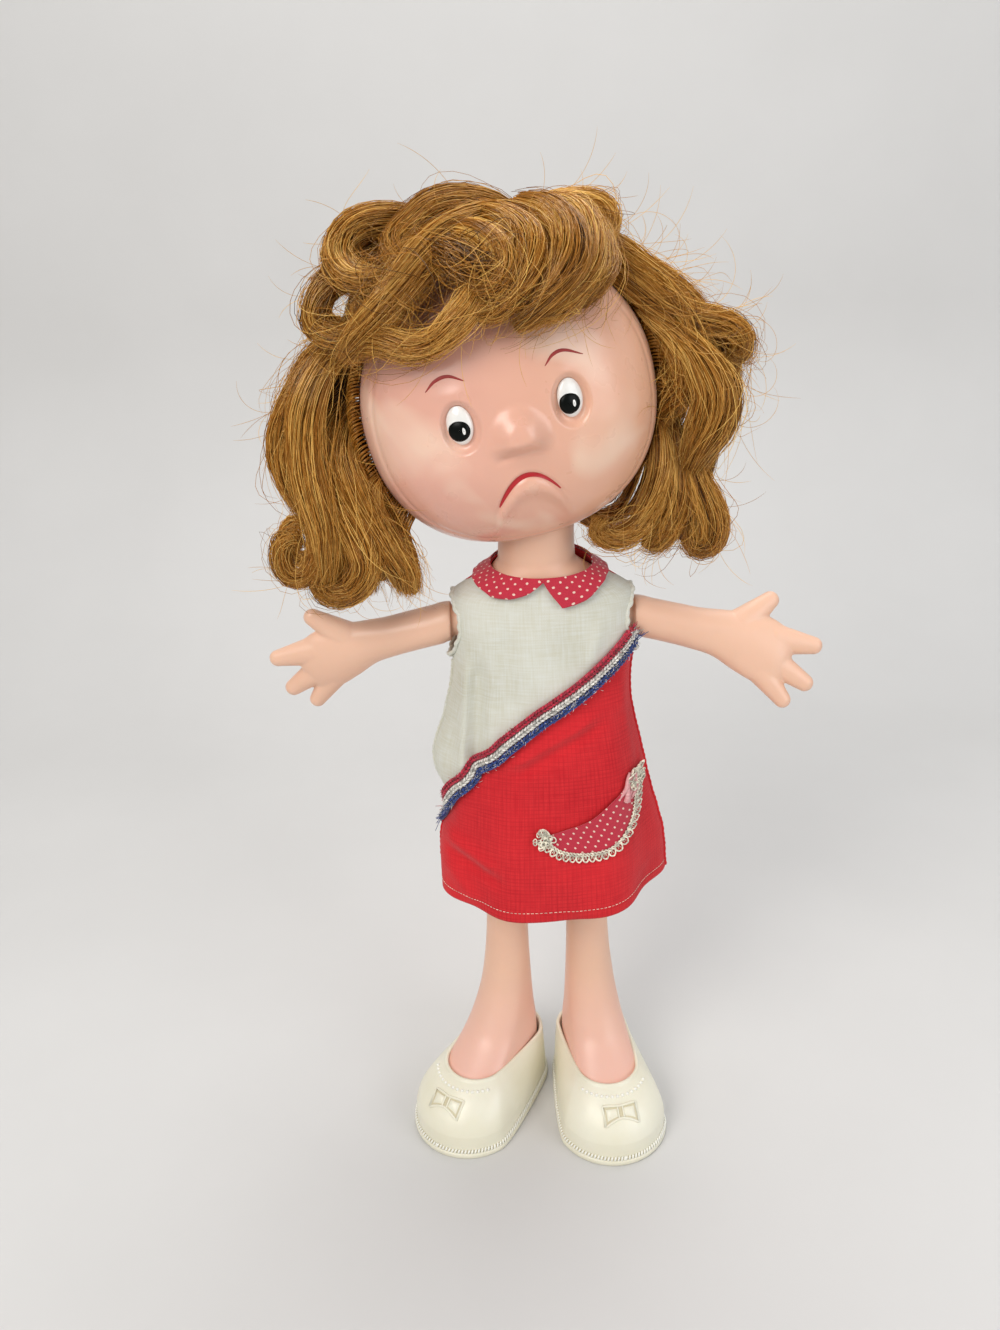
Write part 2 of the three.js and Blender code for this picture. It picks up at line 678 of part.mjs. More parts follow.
// Rows of the shoe's upper: [height, toe radius, reach, heel radius].
const upperToe = shoeToeRadius - weltStep;
const upperHeel = shoeHeelRadius - weltStep;
const shoeRows = [
  [soleThick, upperToe, shoeReach, upperHeel],
  [shoeHeight * 0.316, upperToe - 0.2, shoeReach - 0.3, upperHeel - 0.1],
  [shoeHeight * 0.5, upperToe - 2.1, shoeReach - 1.8, upperHeel - 0.4],
  [shoeHeight * 0.684, upperToe - 6.1, shoeReach - 5.2, upperHeel - 0.8],
  [shoeHeight * 0.842, upperToe - 11.7, shoeReach - 10, upperHeel - 1.2],
  [shoeHeight, upperToe - 13.9, shoeReach - 26, upperHeel - 1.8],
];
const openingToe = upperToe - 10.3;
const openingReach = shoeReach - 17;
const openingHeel = upperHeel - shoeWall - 0.8;

function shoe() {
  const sole = solidOf(
    skin([
      footRing(shoeToeRadius - 0.6, shoeReach, shoeHeelRadius - 0.6, 0),
      footRing(shoeToeRadius, shoeReach, shoeHeelRadius, 0.8),
      footRing(shoeToeRadius, shoeReach, shoeHeelRadius, soleThick),
    ]),
  );
  const ring = ([z, toe, reach, heel], inset, lift = 0) =>
    footRing(toe - inset, reach, heel - inset, z + lift);
  const upper = solidOf(
    skin([ring([soleThick - 0.5, ...shoeRows[0].slice(1)], 0), ...shoeRows.map((r) => ring(r, 0))]),
  );
  const cavity = solidOf(
    skin(shoeRows.map((row, i) => ring(row, shoeWall, i ? -shoeWall * (i / 5) : 0.2))),
  );
  const opening = solidOf(
    skin([
      footRing(openingToe, openingReach, openingHeel, shoeHeight * 0.58),
      footRing(openingToe, openingReach, openingHeel, shoeHeight + 8),
    ]),
  );
  return united([sole, upper]).subtract(cavity).subtract(opening).add(shoeBow());
}

const bowSlope = 30; // degrees
const bowReach = shoeReach + shoeToeRadius - 17.4;
const bowHeight = shoeHeight * 0.742;
const bowHalfWidth = shoeToeRadius * 0.286;

// The moulded bow on the toe of the shoe.
function shoeBow() {
  const [w, tip, waist] = [bowHalfWidth, bowHalfWidth * 0.45, bowHalfWidth * 0.225];
  const outline = new THREE.Shape();
  outline.moveTo(-w, -tip);
  outline.lineTo(-w, tip);
  outline.quadraticCurveTo(-w / 2, waist * 0.9, 0, waist);
  outline.quadraticCurveTo(w / 2, waist * 0.9, w, tip);
  outline.lineTo(w, -tip);
  outline.quadraticCurveTo(w / 2, -waist * 0.9, 0, -waist);
  outline.quadraticCurveTo(-w / 2, -waist * 0.9, -w, -tip);
  const plate = new THREE.ExtrudeGeometry(outline, {
    depth: 3,
    bevelEnabled: false,
    curveSegments: 3,
  });
  plate.rotateX(rad(bowSlope)).translate(0, -bowReach, bowHeight);
  return solidOf(plate);
}

// Rows of the leg and foot: [height, toe radius, reach, heel radius, how far the row stands outward].
const footToe = shoeToeRadius - weltStep - shoeWall - clearance; // the most that the shoe takes
const footHeel = shoeHeelRadius - weltStep - shoeWall - clearance;
const legRows = [
  [soleThick + clearance + 0.2, footToe - 1.15, shoeReach - 1, footHeel - 1.75, footShift],
  [shoeHeight * 0.29, footToe - 0.55, shoeReach - 1, footHeel - 0.95, footShift],
  [shoeHeight * 0.447, footToe - 1.95, shoeReach - 2.4, footHeel - 0.75, footShift],
  [shoeHeight * 0.605, footToe - 7.35, shoeReach - 6.8, footHeel - 1.35, footShift],
  [shoeHeight * 0.763, footToe - 9.35, shoeReach - 19, footHeel - 1.75, footShift],
  [shoeHeight * 0.974, footToe - 9.75, shoeReach - 25, footHeel - 2.15, footShift],
  [lerp(shoeHeight, hipZ, 0.09), legRadius * 1.4, 5, legRadius * 1.46, footShift * 0.8],
  [lerp(shoeHeight, hipZ, 0.232), legRadius * 1.26, 1.8, legRadius * 1.28, footShift * 0.5],
  [lerp(shoeHeight, hipZ, 0.41), legRadius * 1.115, 0.6, legRadius * 1.125, footShift * 0.2],
  [lerp(shoeHeight, hipZ, 0.625), legRadius * 1.03, 0.2, legRadius * 1.03, 0],
  [hipZ - clearance, legRadius, 0.1, legRadius, 0],
];

function leg(side) {
  const ring = ([z, toe, reach, heel, shift], inset) =>
    footRing(toe - inset, reach, heel - inset, z).map((p) => p.add(V(side * shift, 0, 0)));
  const limb = solidOf(skin(legRows.map((row) => ring(row, 0))));
  const hollowRows = [...legRows.slice(2, -1), [hipZ - 4, legRadius, 0.1, legRadius, 0]];
  const hollow = solidOf(skin(hollowRows.map((row) => ring(row, socketWall))));
  const vent = bar(pegRadius - 2.4, hipZ - 8, hipZ + pegLength + 4, 10);
  const hip = new THREE.Matrix4()
    .makeTranslation(0, 0, hipZ)
    .multiply(new THREE.Matrix4().makeRotationX(Math.PI));
  return united([limb, moved(peg(), hip)]).subtract(hollow).subtract(vent);
}

// Dress

// The dress by height: half-width, half-depth and depth of the folds. Below the chest it flares out to
// the hem by these shares, and above it follows the torso.
const chestZ = shoulderZ - neckFootRise * 0.636;
const flareRows = [
  [0, 1, 1, 1],
  [0.193, 0.922, 0.816, 0.7],
  [0.4035, 0.734, 0.596, 0.42],
  [0.614, 0.5625, 0.382, 0.2],
  [0.807, 0.219, 0.162, 0.06],
].map(([up, wide, deep, fold]) => [
  lerp(hemZ, chestZ, up),
  lerp(shoulderX * 1.056, hemHalfWidth, wide),
  lerp(torsoHalfDepth * 1.043, hemHalfDepth, deep),
  fold,
]);
const bodiceRows = [
  [-0.636, 1.056, 1.043],
  [-0.055, 1.051, 0.966],
  [0.273, 1.051, 0.889],
  [0.473, 1.01, 0.838],
  [0.655, 0.8205, 0.812],
  [0.855, 0.605, 0.803],
  [1.109, 0.477, 0.795],
].map(([up, wide, deep]) => [
  shoulderZ + neckFootRise * up,
  shoulderX * wide,
  torsoHalfDepth * deep,
  0,
]);
const dressRows = [...flareRows, ...bodiceRows];
const dressTopZ = dressRows.at(-1)[0];
const dressSides = 30;

// A corner of the dress's faceted outer side at an angle round the body, 0 being the doll's left.
function dressCorner(turn, z, inset) {
  const bent = (v) => Math.sign(v) * Math.abs(v) ** (2 / dressFullness);
  const wave = 1.9 * Math.cos(7 * turn + 0.6) + 1.2 * Math.cos(4 * turn - 1.1);
  const swing = wave * fromRows(dressRows, z, 3) - inset;
  const nearHem = THREE.MathUtils.clamp(1 - (z - hemZ) / ((chestZ - hemZ) * 0.614), 0, 1);
  const lift = hemLift * Math.cos(turn) ** 2 * nearHem;
  return V(
    (fromRows(dressRows, z, 1) + swing) * bent(Math.cos(turn)),
    (fromRows(dressRows, z, 2) + swing) * bent(Math.sin(turn)),
    z + lift,
  );
}

function dressPoint(turn, z, inset = 0) {
  const step = (2 * Math.PI) / dressSides;
  const first = Math.floor(turn / step + 1e-6) * step;
  const share = (turn - first) / step;
  return dressCorner(first, z, inset).lerp(dressCorner(first + step, z, inset), share);
}

// The outer side of the dress at an angle and height, moved outwards: its point and outward direction.
function dressAt(turn, z, away) {
  const point = dressPoint(turn, z);
  const side = dressPoint(turn + 0.02, z).sub(point);
  const up = dressPoint(turn, z + 1).sub(point);
  const out = side.cross(up).normalize();
  return { point: point.addScaledVector(out, away), out };
}

// The same at x and z, on the front or the back of the dress.
function dressAcross(x, z, away, back = false) {
  const turn = (t) => (back ? Math.PI - t : t - Math.PI);
  let [low, high] = [0, Math.PI];
  for (let i = 0; i < 30; i++) {
    const middle = (low + high) / 2;
    if (dressPoint(turn(middle), z).x < x) low = middle;
    else high = middle;
  }
  return dressAt(turn(low), z, away);
}

// The seam under the braid, from the doll's right side up to its left armhole, as an angle and the
// share of the way up from the hem to the shoulder.
const diagonal = new THREE.SplineCurve(
  [
    [-172, 0.205],
    [-140, 0.3],
    [-107.5, 0.487],
    [-81, 0.654],
    [-54, 0.776],
    [-36, 0.859],
    [-28, 0.9125],
  ].map(([degrees, up]) => new THREE.Vector2(rad(degrees), lerp(hemZ, shoulderZ, up))),
);

// A slab through the front that lies above or below the diagonal, moved along it by a gap.
function besideDiagonal(above, gap) {
  const far = above ? 200 : -200;
  const shape = new THREE.Shape();
  const line = diagonal.getPoints(14).map((p) => {
    const { x, z } = dressPoint(p.x, p.y);
    return new THREE.Vector2(x - gap * 0.7, z + gap * 0.7);
  });
  const ahead = line.at(-1).clone().add(new THREE.Vector2(18, 32));
  const behind = line[0].clone().add(new THREE.Vector2(-14, -14));
  shape.moveTo(behind.x, behind.y);
  for (const p of line) shape.lineTo(p.x, p.y);
  shape.lineTo(ahead.x, ahead.y);
  shape.lineTo(above ? -90 : 90, ahead.y + (above ? 60 : 0));
  shape.lineTo(above ? -90 : 90, behind.y + (above ? 0 : far / 3));
  if (!above) shape.lineTo(-90, behind.y + far / 3);
  if (!above) shape.lineTo(-90, behind.y);
  const slab = new THREE.ExtrudeGeometry(shape, { depth: 200, bevelEnabled: false });
  return solidOf(slab.rotateX(Math.PI / 2).translate(0, 100, 0));
}

function dressNodes() {
  const heights = dressRows.map(([z]) => z);
  const rings = (inset, low, high) =>
    [low, ...heights.slice(1, -1), high].map((z) =>
      Array.from({ length: dressSides }, (_, j) => {
        return dressCorner((j / dressSides) * 2 * Math.PI, z, inset);
      }),
    );
  const cloth = solidOf(skin(rings(0, hemZ, dressTopZ))).subtract(
    solidOf(skin(rings(clothThick, hemZ - 5, dressTopZ + 6))),
  );
  const armhole = united(
    [-1, 1].map((side) =>
      solidOf(
        new THREE.CylinderGeometry(1, 1, 30, 20)
          .rotateZ(Math.PI / 2)
          .scale(1, armholeHalfWidth, armholeHalfHeight)
          .translate(side * (shoulderX + 6), 0, shoulderZ - 0.4),
      ),
    ),
  );
  const slope = Math.atan(necklineRise);
  const aboveNeckline = solidOf(
    new THREE.BoxGeometry(120, 120, 30)
      .translate(0, 0, 15)
      .rotateX(slope)
      .translate(0, 0, necklineZ + 18 * necklineRise),
  );
  const open = cloth.subtract(armhole).subtract(aboveNeckline).subtract(
    bar(necklineRadius, necklineZ - 12, necklineZ + 28).translate(neckLean / 2, 0, 0),
  );
  const far = 200;
  const front = open.intersect(block(V(-far, -far, 0), V(far, -seamGap / 2, far * 2)));
  const backHalf = open.intersect(block(V(-far, seamGap / 2, 0), V(far, far, far * 2)));
  return {
    dress_front_white: front.intersect(besideDiagonal(true, seamGap / 2)),
    dress_front_red: front.intersect(besideDiagonal(false, -seamGap / 2)),
    dress_back_left: backHalf.intersect(block(V(seamGap / 2, 0, 0), V(far, far, far * 2))),
    dress_back_right: backHalf.intersect(block(V(-far, 0, 0), V(-seamGap / 2, far, far * 2))),
  };
}

// Trim

// One cord of the braid, laid along the diagonal at a distance across it.
function braidCord(row) {
  const seam = diagonal.getPoints(20).map((p) => dressAt(p.x, p.y, braidRadius + trimGap));
  const points = seam.map(({ point, out }, i) => {
    const next = seam[Math.min(i + 1, seam.length - 1)].point;
    const last = seam[Math.max(i - 1, 0)].point;
    const across = next.clone().sub(last).cross(out).normalize();
    return point.clone().addScaledVector(across, (row - 1) * braidPitch);
  });
  const round = new THREE.Shape(
    Array.from({ length: 6 }, (_, j) => {
      const turn = (j / 6) * 2 * Math.PI;
      return new THREE.Vector2(braidRadius * Math.cos(turn), braidRadius * Math.sin(turn));
    }),
  );
  return new THREE.ExtrudeGeometry(round, {
    steps: 20,
    extrudePath: new THREE.CatmullRomCurve3(points),
    bevelEnabled: false,
  });
}

// One side of the collar, folded over the neckline and down to a point beside the middle.
function collarPlate(side, tipDrop) {
  const thick = 1.1;
  const place = (s, t) => {
    const turn = rad(lerp(side > 0 ? -92 : -84, 86, s));
    const edge = necklineZ + (Math.sin(turn) + 1) * necklineRadius * necklineRise;
    const tip = Math.exp(-(((s - 0.1) / 0.12) ** 2));
    const drop = 4.6 + 2.4 * Math.sin(Math.PI * s) + tip * tipDrop;
    const z = lerp(edge + 1.6, edge - drop, t);
    const away = clearance + thick + 0.9 * t;
    return dressAt(side > 0 ? turn : Math.PI - turn, z, away);
  };
  return sheet(place, 10, 2, thick);
}

// Edges of the pocket, as shares of the hem's half-width and of the way up from the hem to the shoulder.
const onSkirt = ([x, up]) => new THREE.Vector2(x * hemHalfWidth, lerp(hemZ, shoulderZ, up));
const pocketTop = [
  [0.111, 0.319],
  [0.333, 0.342],
  [0.537, 0.395],
  [0.704, 0.479],
].map(onSkirt);
const pocketBottom = [
  [0.111, 0.319],
  [0.315, 0.255],
  [0.556, 0.262],
  [0.715, 0.342],
  [0.741, 0.4715],
].map(onSkirt);

// A patch on the skirt between two edges, thick enough to be two layers of cloth.
function skirtPatch(upper, lower, out, thick, across, along) {
  const place = (s, t) => {
    const p = upper(s).clone().lerp(lower(s), t);
    return dressAcross(p.x, p.y, out + thick);
  };
  return sheet(place, across, along, thick);
}

function pocketNodes() {
  const top = new THREE.SplineCurve(pocketTop);
  const bottom = new THREE.SplineCurve(pocketBottom);
  const start = 0.04;
  const at = (curve) => (s) => curve.getPoint(lerp(start, 0.97, s));
  const scallops = 12;
  const laceWidth = 2.6;
  const edge = (s, far) => {
    const p = bottom.getPoint(s);
    const along = bottom.getTangent(s);
    return p.clone().add(new THREE.Vector2(along.y, -along.x).multiplyScalar(far));
  };
  const inner = (s) => edge(s, 0.5);
  const outer = (s) => edge(s, 0.5 + laceWidth + 1.1 * Math.abs(Math.sin(Math.PI * scallops * s)));
  return {
    pocket: skirtPatch(at(top), at(bottom), trimGap, 1, 10, 3),
    pocket_lace: skirtPatch(inner, outer, trimGap, 0.8, scallops * 3, 1),
  };
}

// The strip behind the back opening, sewn under the right-hand panel and lying under the other.
function underlap() {
  const place = (s, t) => {
    const x = lerp(-6, 9, s);
    const share = THREE.MathUtils.smoothstep(x, -1, 2);
    const sunk = lerp(clothThick + 2 * seamGap, snapInset + seamGap, share);
    return dressAcross(x, lerp(hipZ, shoulderZ - 1.5, t), -sunk, true);
  };
  return sheet(place, 6, 9, 0.9);
}

// The two halves of a sewn snap fastener in the back opening: a stud, and a ring that takes it.
function snapHalves(z) {
  const { point, out } = dressAcross(5, z, -snapInset, true);
  const turn = new THREE.Quaternion().setFromUnitVectors(V(0, 0, 1), out);
  const matrix = new THREE.Matrix4().compose(point, turn, V(1, 1, 1));
  const stud = [
    [0, 0],
    [3.2, 0],
    [3.2, 0.5],
    [1, 0.5],
    [1, 1.3],
    [0, 1.3],
  ];
  const ring = [
    [0, 1.6],
    [1.35, 1.6],
    [1.35, 0.65],
    [3.2, 0.65],
    [3.2, 1.4],
    [2.4, 1.9],
    [0, 1.9],
  ];
  return [stud, ring].map((profile) => moved(revolved(profile, 8), matrix));
}

// Assembly

const vinyl = (color) =>
  new THREE.MeshStandardMaterial({ color, roughness: 0.38, metalness: 0 });
const cloth = (color) =>
  new THREE.MeshStandardMaterial({ color, roughness: 0.95, metalness: 0 });
const materials = {
  face: vinyl(0xe3a98d),
  skin: vinyl(0xe6ab85),
  plug: vinyl(0xd9d2c4),
  hair: new THREE.MeshStandardMaterial({ color: 0xa8682a, roughness: 0.5, metalness: 0 }),
  shoe: vinyl(0xe2dcc0),
  white: cloth(0xdcd8cc),
  red: cloth(0xc81e22),
  dots: cloth(0xb9233a),
  blue: cloth(0x24407e),
  lace: cloth(0xe6dcc4),
  metal: new THREE.MeshStandardMaterial({ color: 0xb8b8b8, roughness: 0.35, metalness: 1 }),
};

function piece(name, shape, material) {
  const tolerance = material === materials.hair ? hairTolerance : facetTolerance;
  const geometry = geometryOf(shape.isBufferGeometry ? solidOf(shape) : shape, tolerance);
  const mesh = new THREE.Mesh(geometry, material);
  mesh.name = name;
  return mesh;
}

function headGroup() {
  const turning = new THREE.Group();
  turning.position.set(neckLean, 0, neckPivotZ);
  turning.rotation.z = rad(headYaw);
  const rocking = new THREE.Group();
  rocking.rotation.y = -rad(headTilt);
  rocking.add(piece("head_shell", headShell(), materials.face));
  rocking.add(piece("hair_roots", hairRoots(), materials.hair));
  for (const [name, solid] of Object.entries(hairNodes()))
    rocking.add(piece(name, solid, materials.hair));
  turning.add(piece("neck_plug", neckPlug(), materials.plug), rocking);
  return turning;
}

function armPiece(name, side, back) {
  return piece(name, moved(arm(), shoulderFrame(side, back)), materials.skin);
}

function legGroup(name, side, toeOut) {
  const group = new THREE.Group();
  group.position.set(side * hipSpread, legBack, 0);
  group.rotation.z = side * rad(toeOut);
  group.add(piece("leg_" + name, leg(side), materials.skin));
  const shoeMesh = piece("shoe_" + name, shoe(), materials.shoe);
  shoeMesh.position.x = side * footShift;
  group.add(shoeMesh);
  return group;
}

function dressGroup() {
  const group = new THREE.Group();
  const panels = dressNodes();
  group.add(piece("dress_front_white", panels.dress_front_white, materials.white));
  group.add(piece("dress_front_red", panels.dress_front_red, materials.red));
  group.add(piece("dress_back_left", panels.dress_back_left, materials.red));
  group.add(piece("dress_back_right", panels.dress_back_right, materials.red));
  const cords = { braid_red: "dots", braid_white: "lace", braid_blue: "blue" };
  Object.entries(cords).forEach(([name, color], row) =>
    group.add(piece(name, braidCord(row), materials[color])),
  );
  group.add(piece("collar_right_side", collarPlate(-1, 4), materials.dots));
  group.add(piece("collar_left_side", collarPlate(1, 7), materials.dots));
  group.add(piece("back_underlap", underlap(), materials.red));
  snapHeights.forEach((z, i) => {
    const [stud, ring] = snapHalves(z);
    group.add(piece(`snap_stud_${i + 1}`, stud, materials.metal));
    group.add(piece(`snap_ring_${i + 1}`, ring, materials.metal));
  });
  const { pocket, pocket_lace } = pocketNodes();
  group.add(piece("pocket", pocket, materials.dots), piece("pocket_lace", pocket_lace, materials.lace));
  return group;
}

const doll = new THREE.Group();
doll.add(piece("torso", torso(), materials.skin));
doll.add(headGroup());
doll.add(armPiece("arm_right", -1, rightArmBack), armPiece("arm_left", 1, leftArmBack));
doll.add(legGroup("right", -1, rightToeOut), legGroup("left", 1, leftToeOut));
doll.add(dressGroup());

const box = new THREE.Box3().setFromObject(doll, true);
const middle = box.getCenter(V());
doll.position.set(-middle.x, -middle.y, -box.min.z);

export default doll;
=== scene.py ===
"""Looks of the two-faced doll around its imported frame. Sizes are in millimetres, which mesh() turns into
metres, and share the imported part's axes: +Z up, the sad face looks along -Y."""

import math

import bpy
import numpy as np
from mathutils import Matrix, Vector


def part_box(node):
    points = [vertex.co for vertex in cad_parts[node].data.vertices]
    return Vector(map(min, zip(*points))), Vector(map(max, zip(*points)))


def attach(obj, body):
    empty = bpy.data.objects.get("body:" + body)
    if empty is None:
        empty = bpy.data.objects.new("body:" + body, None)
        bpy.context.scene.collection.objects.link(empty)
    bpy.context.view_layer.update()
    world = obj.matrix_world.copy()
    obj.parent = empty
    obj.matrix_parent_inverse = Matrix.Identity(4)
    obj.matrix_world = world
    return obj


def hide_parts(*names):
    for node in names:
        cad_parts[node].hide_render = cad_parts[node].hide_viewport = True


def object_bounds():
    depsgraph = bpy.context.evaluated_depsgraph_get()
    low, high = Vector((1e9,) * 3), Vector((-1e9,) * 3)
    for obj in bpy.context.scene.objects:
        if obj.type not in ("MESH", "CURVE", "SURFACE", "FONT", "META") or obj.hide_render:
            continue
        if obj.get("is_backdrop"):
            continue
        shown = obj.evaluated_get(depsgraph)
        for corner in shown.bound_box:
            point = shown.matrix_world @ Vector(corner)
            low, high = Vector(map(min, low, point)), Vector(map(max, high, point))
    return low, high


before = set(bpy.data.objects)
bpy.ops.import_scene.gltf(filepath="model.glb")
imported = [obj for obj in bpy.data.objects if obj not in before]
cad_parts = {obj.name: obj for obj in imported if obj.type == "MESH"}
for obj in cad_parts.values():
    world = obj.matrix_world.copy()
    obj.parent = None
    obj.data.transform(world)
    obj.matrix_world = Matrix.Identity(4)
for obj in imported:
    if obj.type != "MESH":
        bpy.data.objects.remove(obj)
frame_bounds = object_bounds()
rng = np.random.default_rng(7)

# Driving sizes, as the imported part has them
HEAD_HALF = np.array([58.5, 46.0, 55.5])  # half-width, half-depth, half-height
HEAD_FULLNESS = 2.3
CROWN_FULLNESS = 2.05
HEAD_TILT = 11.5  # degrees
HEAD_YAW = 5
HEAD_RISE = 52.9  # middle of the head above its pivot
NECK_LEAN = -2
NECK_PIVOT_Z = 301
NECK_RADIUS = 16
HIP_Z = 150
HIP_SPREAD = 19.6
LEG_BACK = 5
SHOULDER_X = 39
SHOULDER_Z = 259.5
NECK_FOOT_RISE = 27.5
TORSO_HALF_DEPTH = 23.4
ARM_DROOP = 16.5
ARM_BACK = {"right": 12, "left": -24}
TOE_OUT = {"right": 35, "left": 9.5}
SHOE_TOE = 28
SHOE_HEEL = 21
SHOE_REACH = 35
SHOE_HEIGHT = 38
THROAT_TOP = 30.5  # the photo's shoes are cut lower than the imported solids
SOLE_THICK = 3.4
WELT_STEP = 1.1
FOOT_SHIFT = 3
HEM_Z = 128
HEM_HALF_WIDTH = 54
HEM_HALF_DEPTH = 38
HEM_LIFT = 6
NECKLINE_Z = 282
NECKLINE_RISE = 0.16
NECKLINE_RADIUS = 17.4
DRESS_FULLNESS = 2.15
ARMHOLE = (12, 14.5)
BRAID_RADIUS = 1.35
BRAID_PITCH = 3.1
ROOTS = (-38, 218)  # degrees round the head's rim

SIDE = {"right": -1, "left": 1}
MOOD = {-1: "sad", 1: "smiling"}  # the face at the front, and the one behind
torso_low, torso_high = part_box("torso")
MIDDLE_Y = (torso_low.y + torso_high.y) / 2 * 1000  # the doll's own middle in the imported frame

# Arithmetic


def smooth(x, low, high):
    t = np.clip((np.asarray(x, float) - low) / (high - low), 0, 1)
    return t * t * (3 - 2 * t)


def mix(a, b, t):
    return a + (b - a) * t


def unit(v):
    return v / np.maximum(np.linalg.norm(v, axis=-1, keepdims=True), 1e-9)


def circle(sides):
    """Even angles round a full turn."""
    return np.arange(sides) / sides * 2 * np.pi


def turned(axis, degrees):
    """The matrix of a turn about an axis."""
    angle, k = math.radians(degrees), "xyz".index(axis)
    i, j = (k + 1) % 3, (k + 2) % 3
    matrix = np.eye(3)
    matrix[i, i] = matrix[j, j] = math.cos(angle)
    matrix[i, j], matrix[j, i] = -math.sin(angle), math.sin(angle)
    return matrix


def run_of(path):
    """The distance along a path at each of its points."""
    return np.concatenate([[0], np.cumsum(np.linalg.norm(np.diff(path, axis=0), axis=1))])


def read_along(at, run, rows):
    """Rows that belong to the points of a path, read at distances along it."""
    return np.stack([np.interp(at, run, column) for column in rows.T], -1)


def narrowed(test, low, high, rounds=26):
    """Where a test that holds at low stops holding on the way to high, for many spots at once."""
    for _ in range(rounds):
        middle = (low + high) / 2
        holds = test(middle)
        low, high = np.where(holds, middle, low), np.where(holds, high, middle)
    return low


def curve_through(rows, steps):
    """Points at even steps along a smooth curve through rows of numbers."""
    p = np.asarray(rows, float)
    padded = np.vstack([2 * p[0] - p[1], p, 2 * p[-1] - p[-2]])
    t = np.atleast_1d(steps) * (len(p) - 1)
    i = np.clip(t.astype(int), 0, len(p) - 2)
    f = (t - i)[:, None]
    a, b, c, d = (padded[i + k] for k in range(4))
    return 0.5 * (2 * b + (c - a) * f + (2 * a - 5 * b + 4 * c - d) * f**2 + (3 * b - a - 3 * c + d) * f**3)


def by_height(rows, z):
    """The values at a height, read smoothly from rows of [height, ...values] that go up."""
    rows = np.asarray(rows, float)
    x = rows[:, 0]
    z = np.clip(z, x[0], x[-1])
    i = np.clip(np.searchsorted(x, z) - 1, 0, len(x) - 2)
    wide = x[i + 1] - x[i]
    t = (z - x[i]) / wide
    share = t * t * (3 - 2 * t)
    found = []
    for y in rows.T[1:]:
        rise, slope = y[i + 1] - y[i], np.gradient(y, x)
        limit = 2.2 * np.abs(rise / wide) + 1e-9
        a, b = np.clip(slope[i], -limit, limit), np.clip(slope[i + 1], -limit, limit)
        bend = t * (1 - t) ** 2 * a - t * t * (1 - t) * b
        found.append(y[i] + rise * share + wide * bend)
    return found


# Meshes


def linked(name, data):
    obj = bpy.data.objects.new(name, data)
    bpy.context.scene.collection.objects.link(obj)
    return obj


def mesh(name, points, faces, material, body, node=None, uv=None, tint=None, slotted=False):
    """A shown piece that rides on a body. Points are in millimetres from the doll's own middle."""
    points = (np.asarray(points, float) + [0, MIDDLE_Y, 0]) / 1000
    if isinstance(faces, np.ndarray):
        sizes, corners = np.full(len(faces), faces.shape[1]), faces.ravel()
    else:
        sizes = np.array([len(face) for face in faces])
        corners = np.array([i for face in faces for i in face])
    data = bpy.data.meshes.new(name)
    data.vertices.add(len(points))
    data.vertices.foreach_set("co", points.astype(np.float32).ravel())
    data.loops.add(len(corners))
    data.loops.foreach_set("vertex_index", corners.astype(np.int32))
    data.polygons.add(len(sizes))
    data.polygons.foreach_set("loop_start", (np.cumsum(sizes) - sizes).astype(np.int32))
    data.update(calc_edges=True)
    data.validate()
    data.shade_smooth()
    if uv is not None:
        loops = np.zeros(len(data.loops), np.int32)
        data.loops.foreach_get("vertex_index", loops)
        data.uv_layers.new(name="cloth").data.foreach_set("uv", np.asarray(uv, np.float32)[loops].ravel())
    if tint is not None:
        layer = data.attributes.new("tint", "FLOAT", "POINT")
        layer.data.foreach_set("value", np.asarray(tint, np.float32))
    data.materials.append(material)
    obj = linked(name, data)
    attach(obj, body)
    if node:
        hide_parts(node)
    if node or slotted:
        material.name.split(".")[0]  # the material's name without Blender's number; the value is not kept
    return obj


def grid_faces(rows, columns, closed=False):
    """Quads between rows of points; closed joins each row's last point to its first."""
    i, j = np.meshgrid(np.arange(rows - 1), np.arange(columns if closed else columns - 1), indexing="ij")
    low, high, k = i * columns, (i + 1) * columns, (j + 1) % columns
    return np.stack([low + j, low + k, high + k, high + j], axis=-1).reshape(-1, 4)


def ended(rings, ends):
    """A skin over rings of points, with a fan to a middle point at each end."""
    count, around = rings.shape[:2]
    points = np.vstack([rings.reshape(-1, 3), ends])
    j = np.arange(around)
    k = (j + 1) % around
    last = (count - 1) * around
    low = np.stack([np.full(around, len(points) - 2), k, j], 1)
    high = np.stack([np.full(around, len(points) - 1), last + j, last + k], 1)
    return points, grid_faces(count, around, closed=True).tolist() + low.tolist() + high.tolist()


def capped(rings, ends=None):
    """A skin like that, wound so that it faces outwards."""
    points, faces = ended(rings, [rings[0].mean(0), rings[-1].mean(0)] if ends is None else ends)
    a, b, c = points[grid_faces(*rings.shape[:2], closed=True)[:, :3]].transpose(1, 0, 2)
    outside = np.einsum("ij,ij->", a, np.cross(b, c)) > 0
    return points, faces if outside else [face[::-1] for face in faces]


def steady_frames(ahead, hint):
    """Two directions across a line at each of its points, which turn as little as they can."""
    normal, found = np.cross(ahead[0], hint), []
    for t in ahead:
        normal = unit(normal - t * (normal @ t))
        found.append(normal)
    return np.array(found), np.cross(ahead, found)


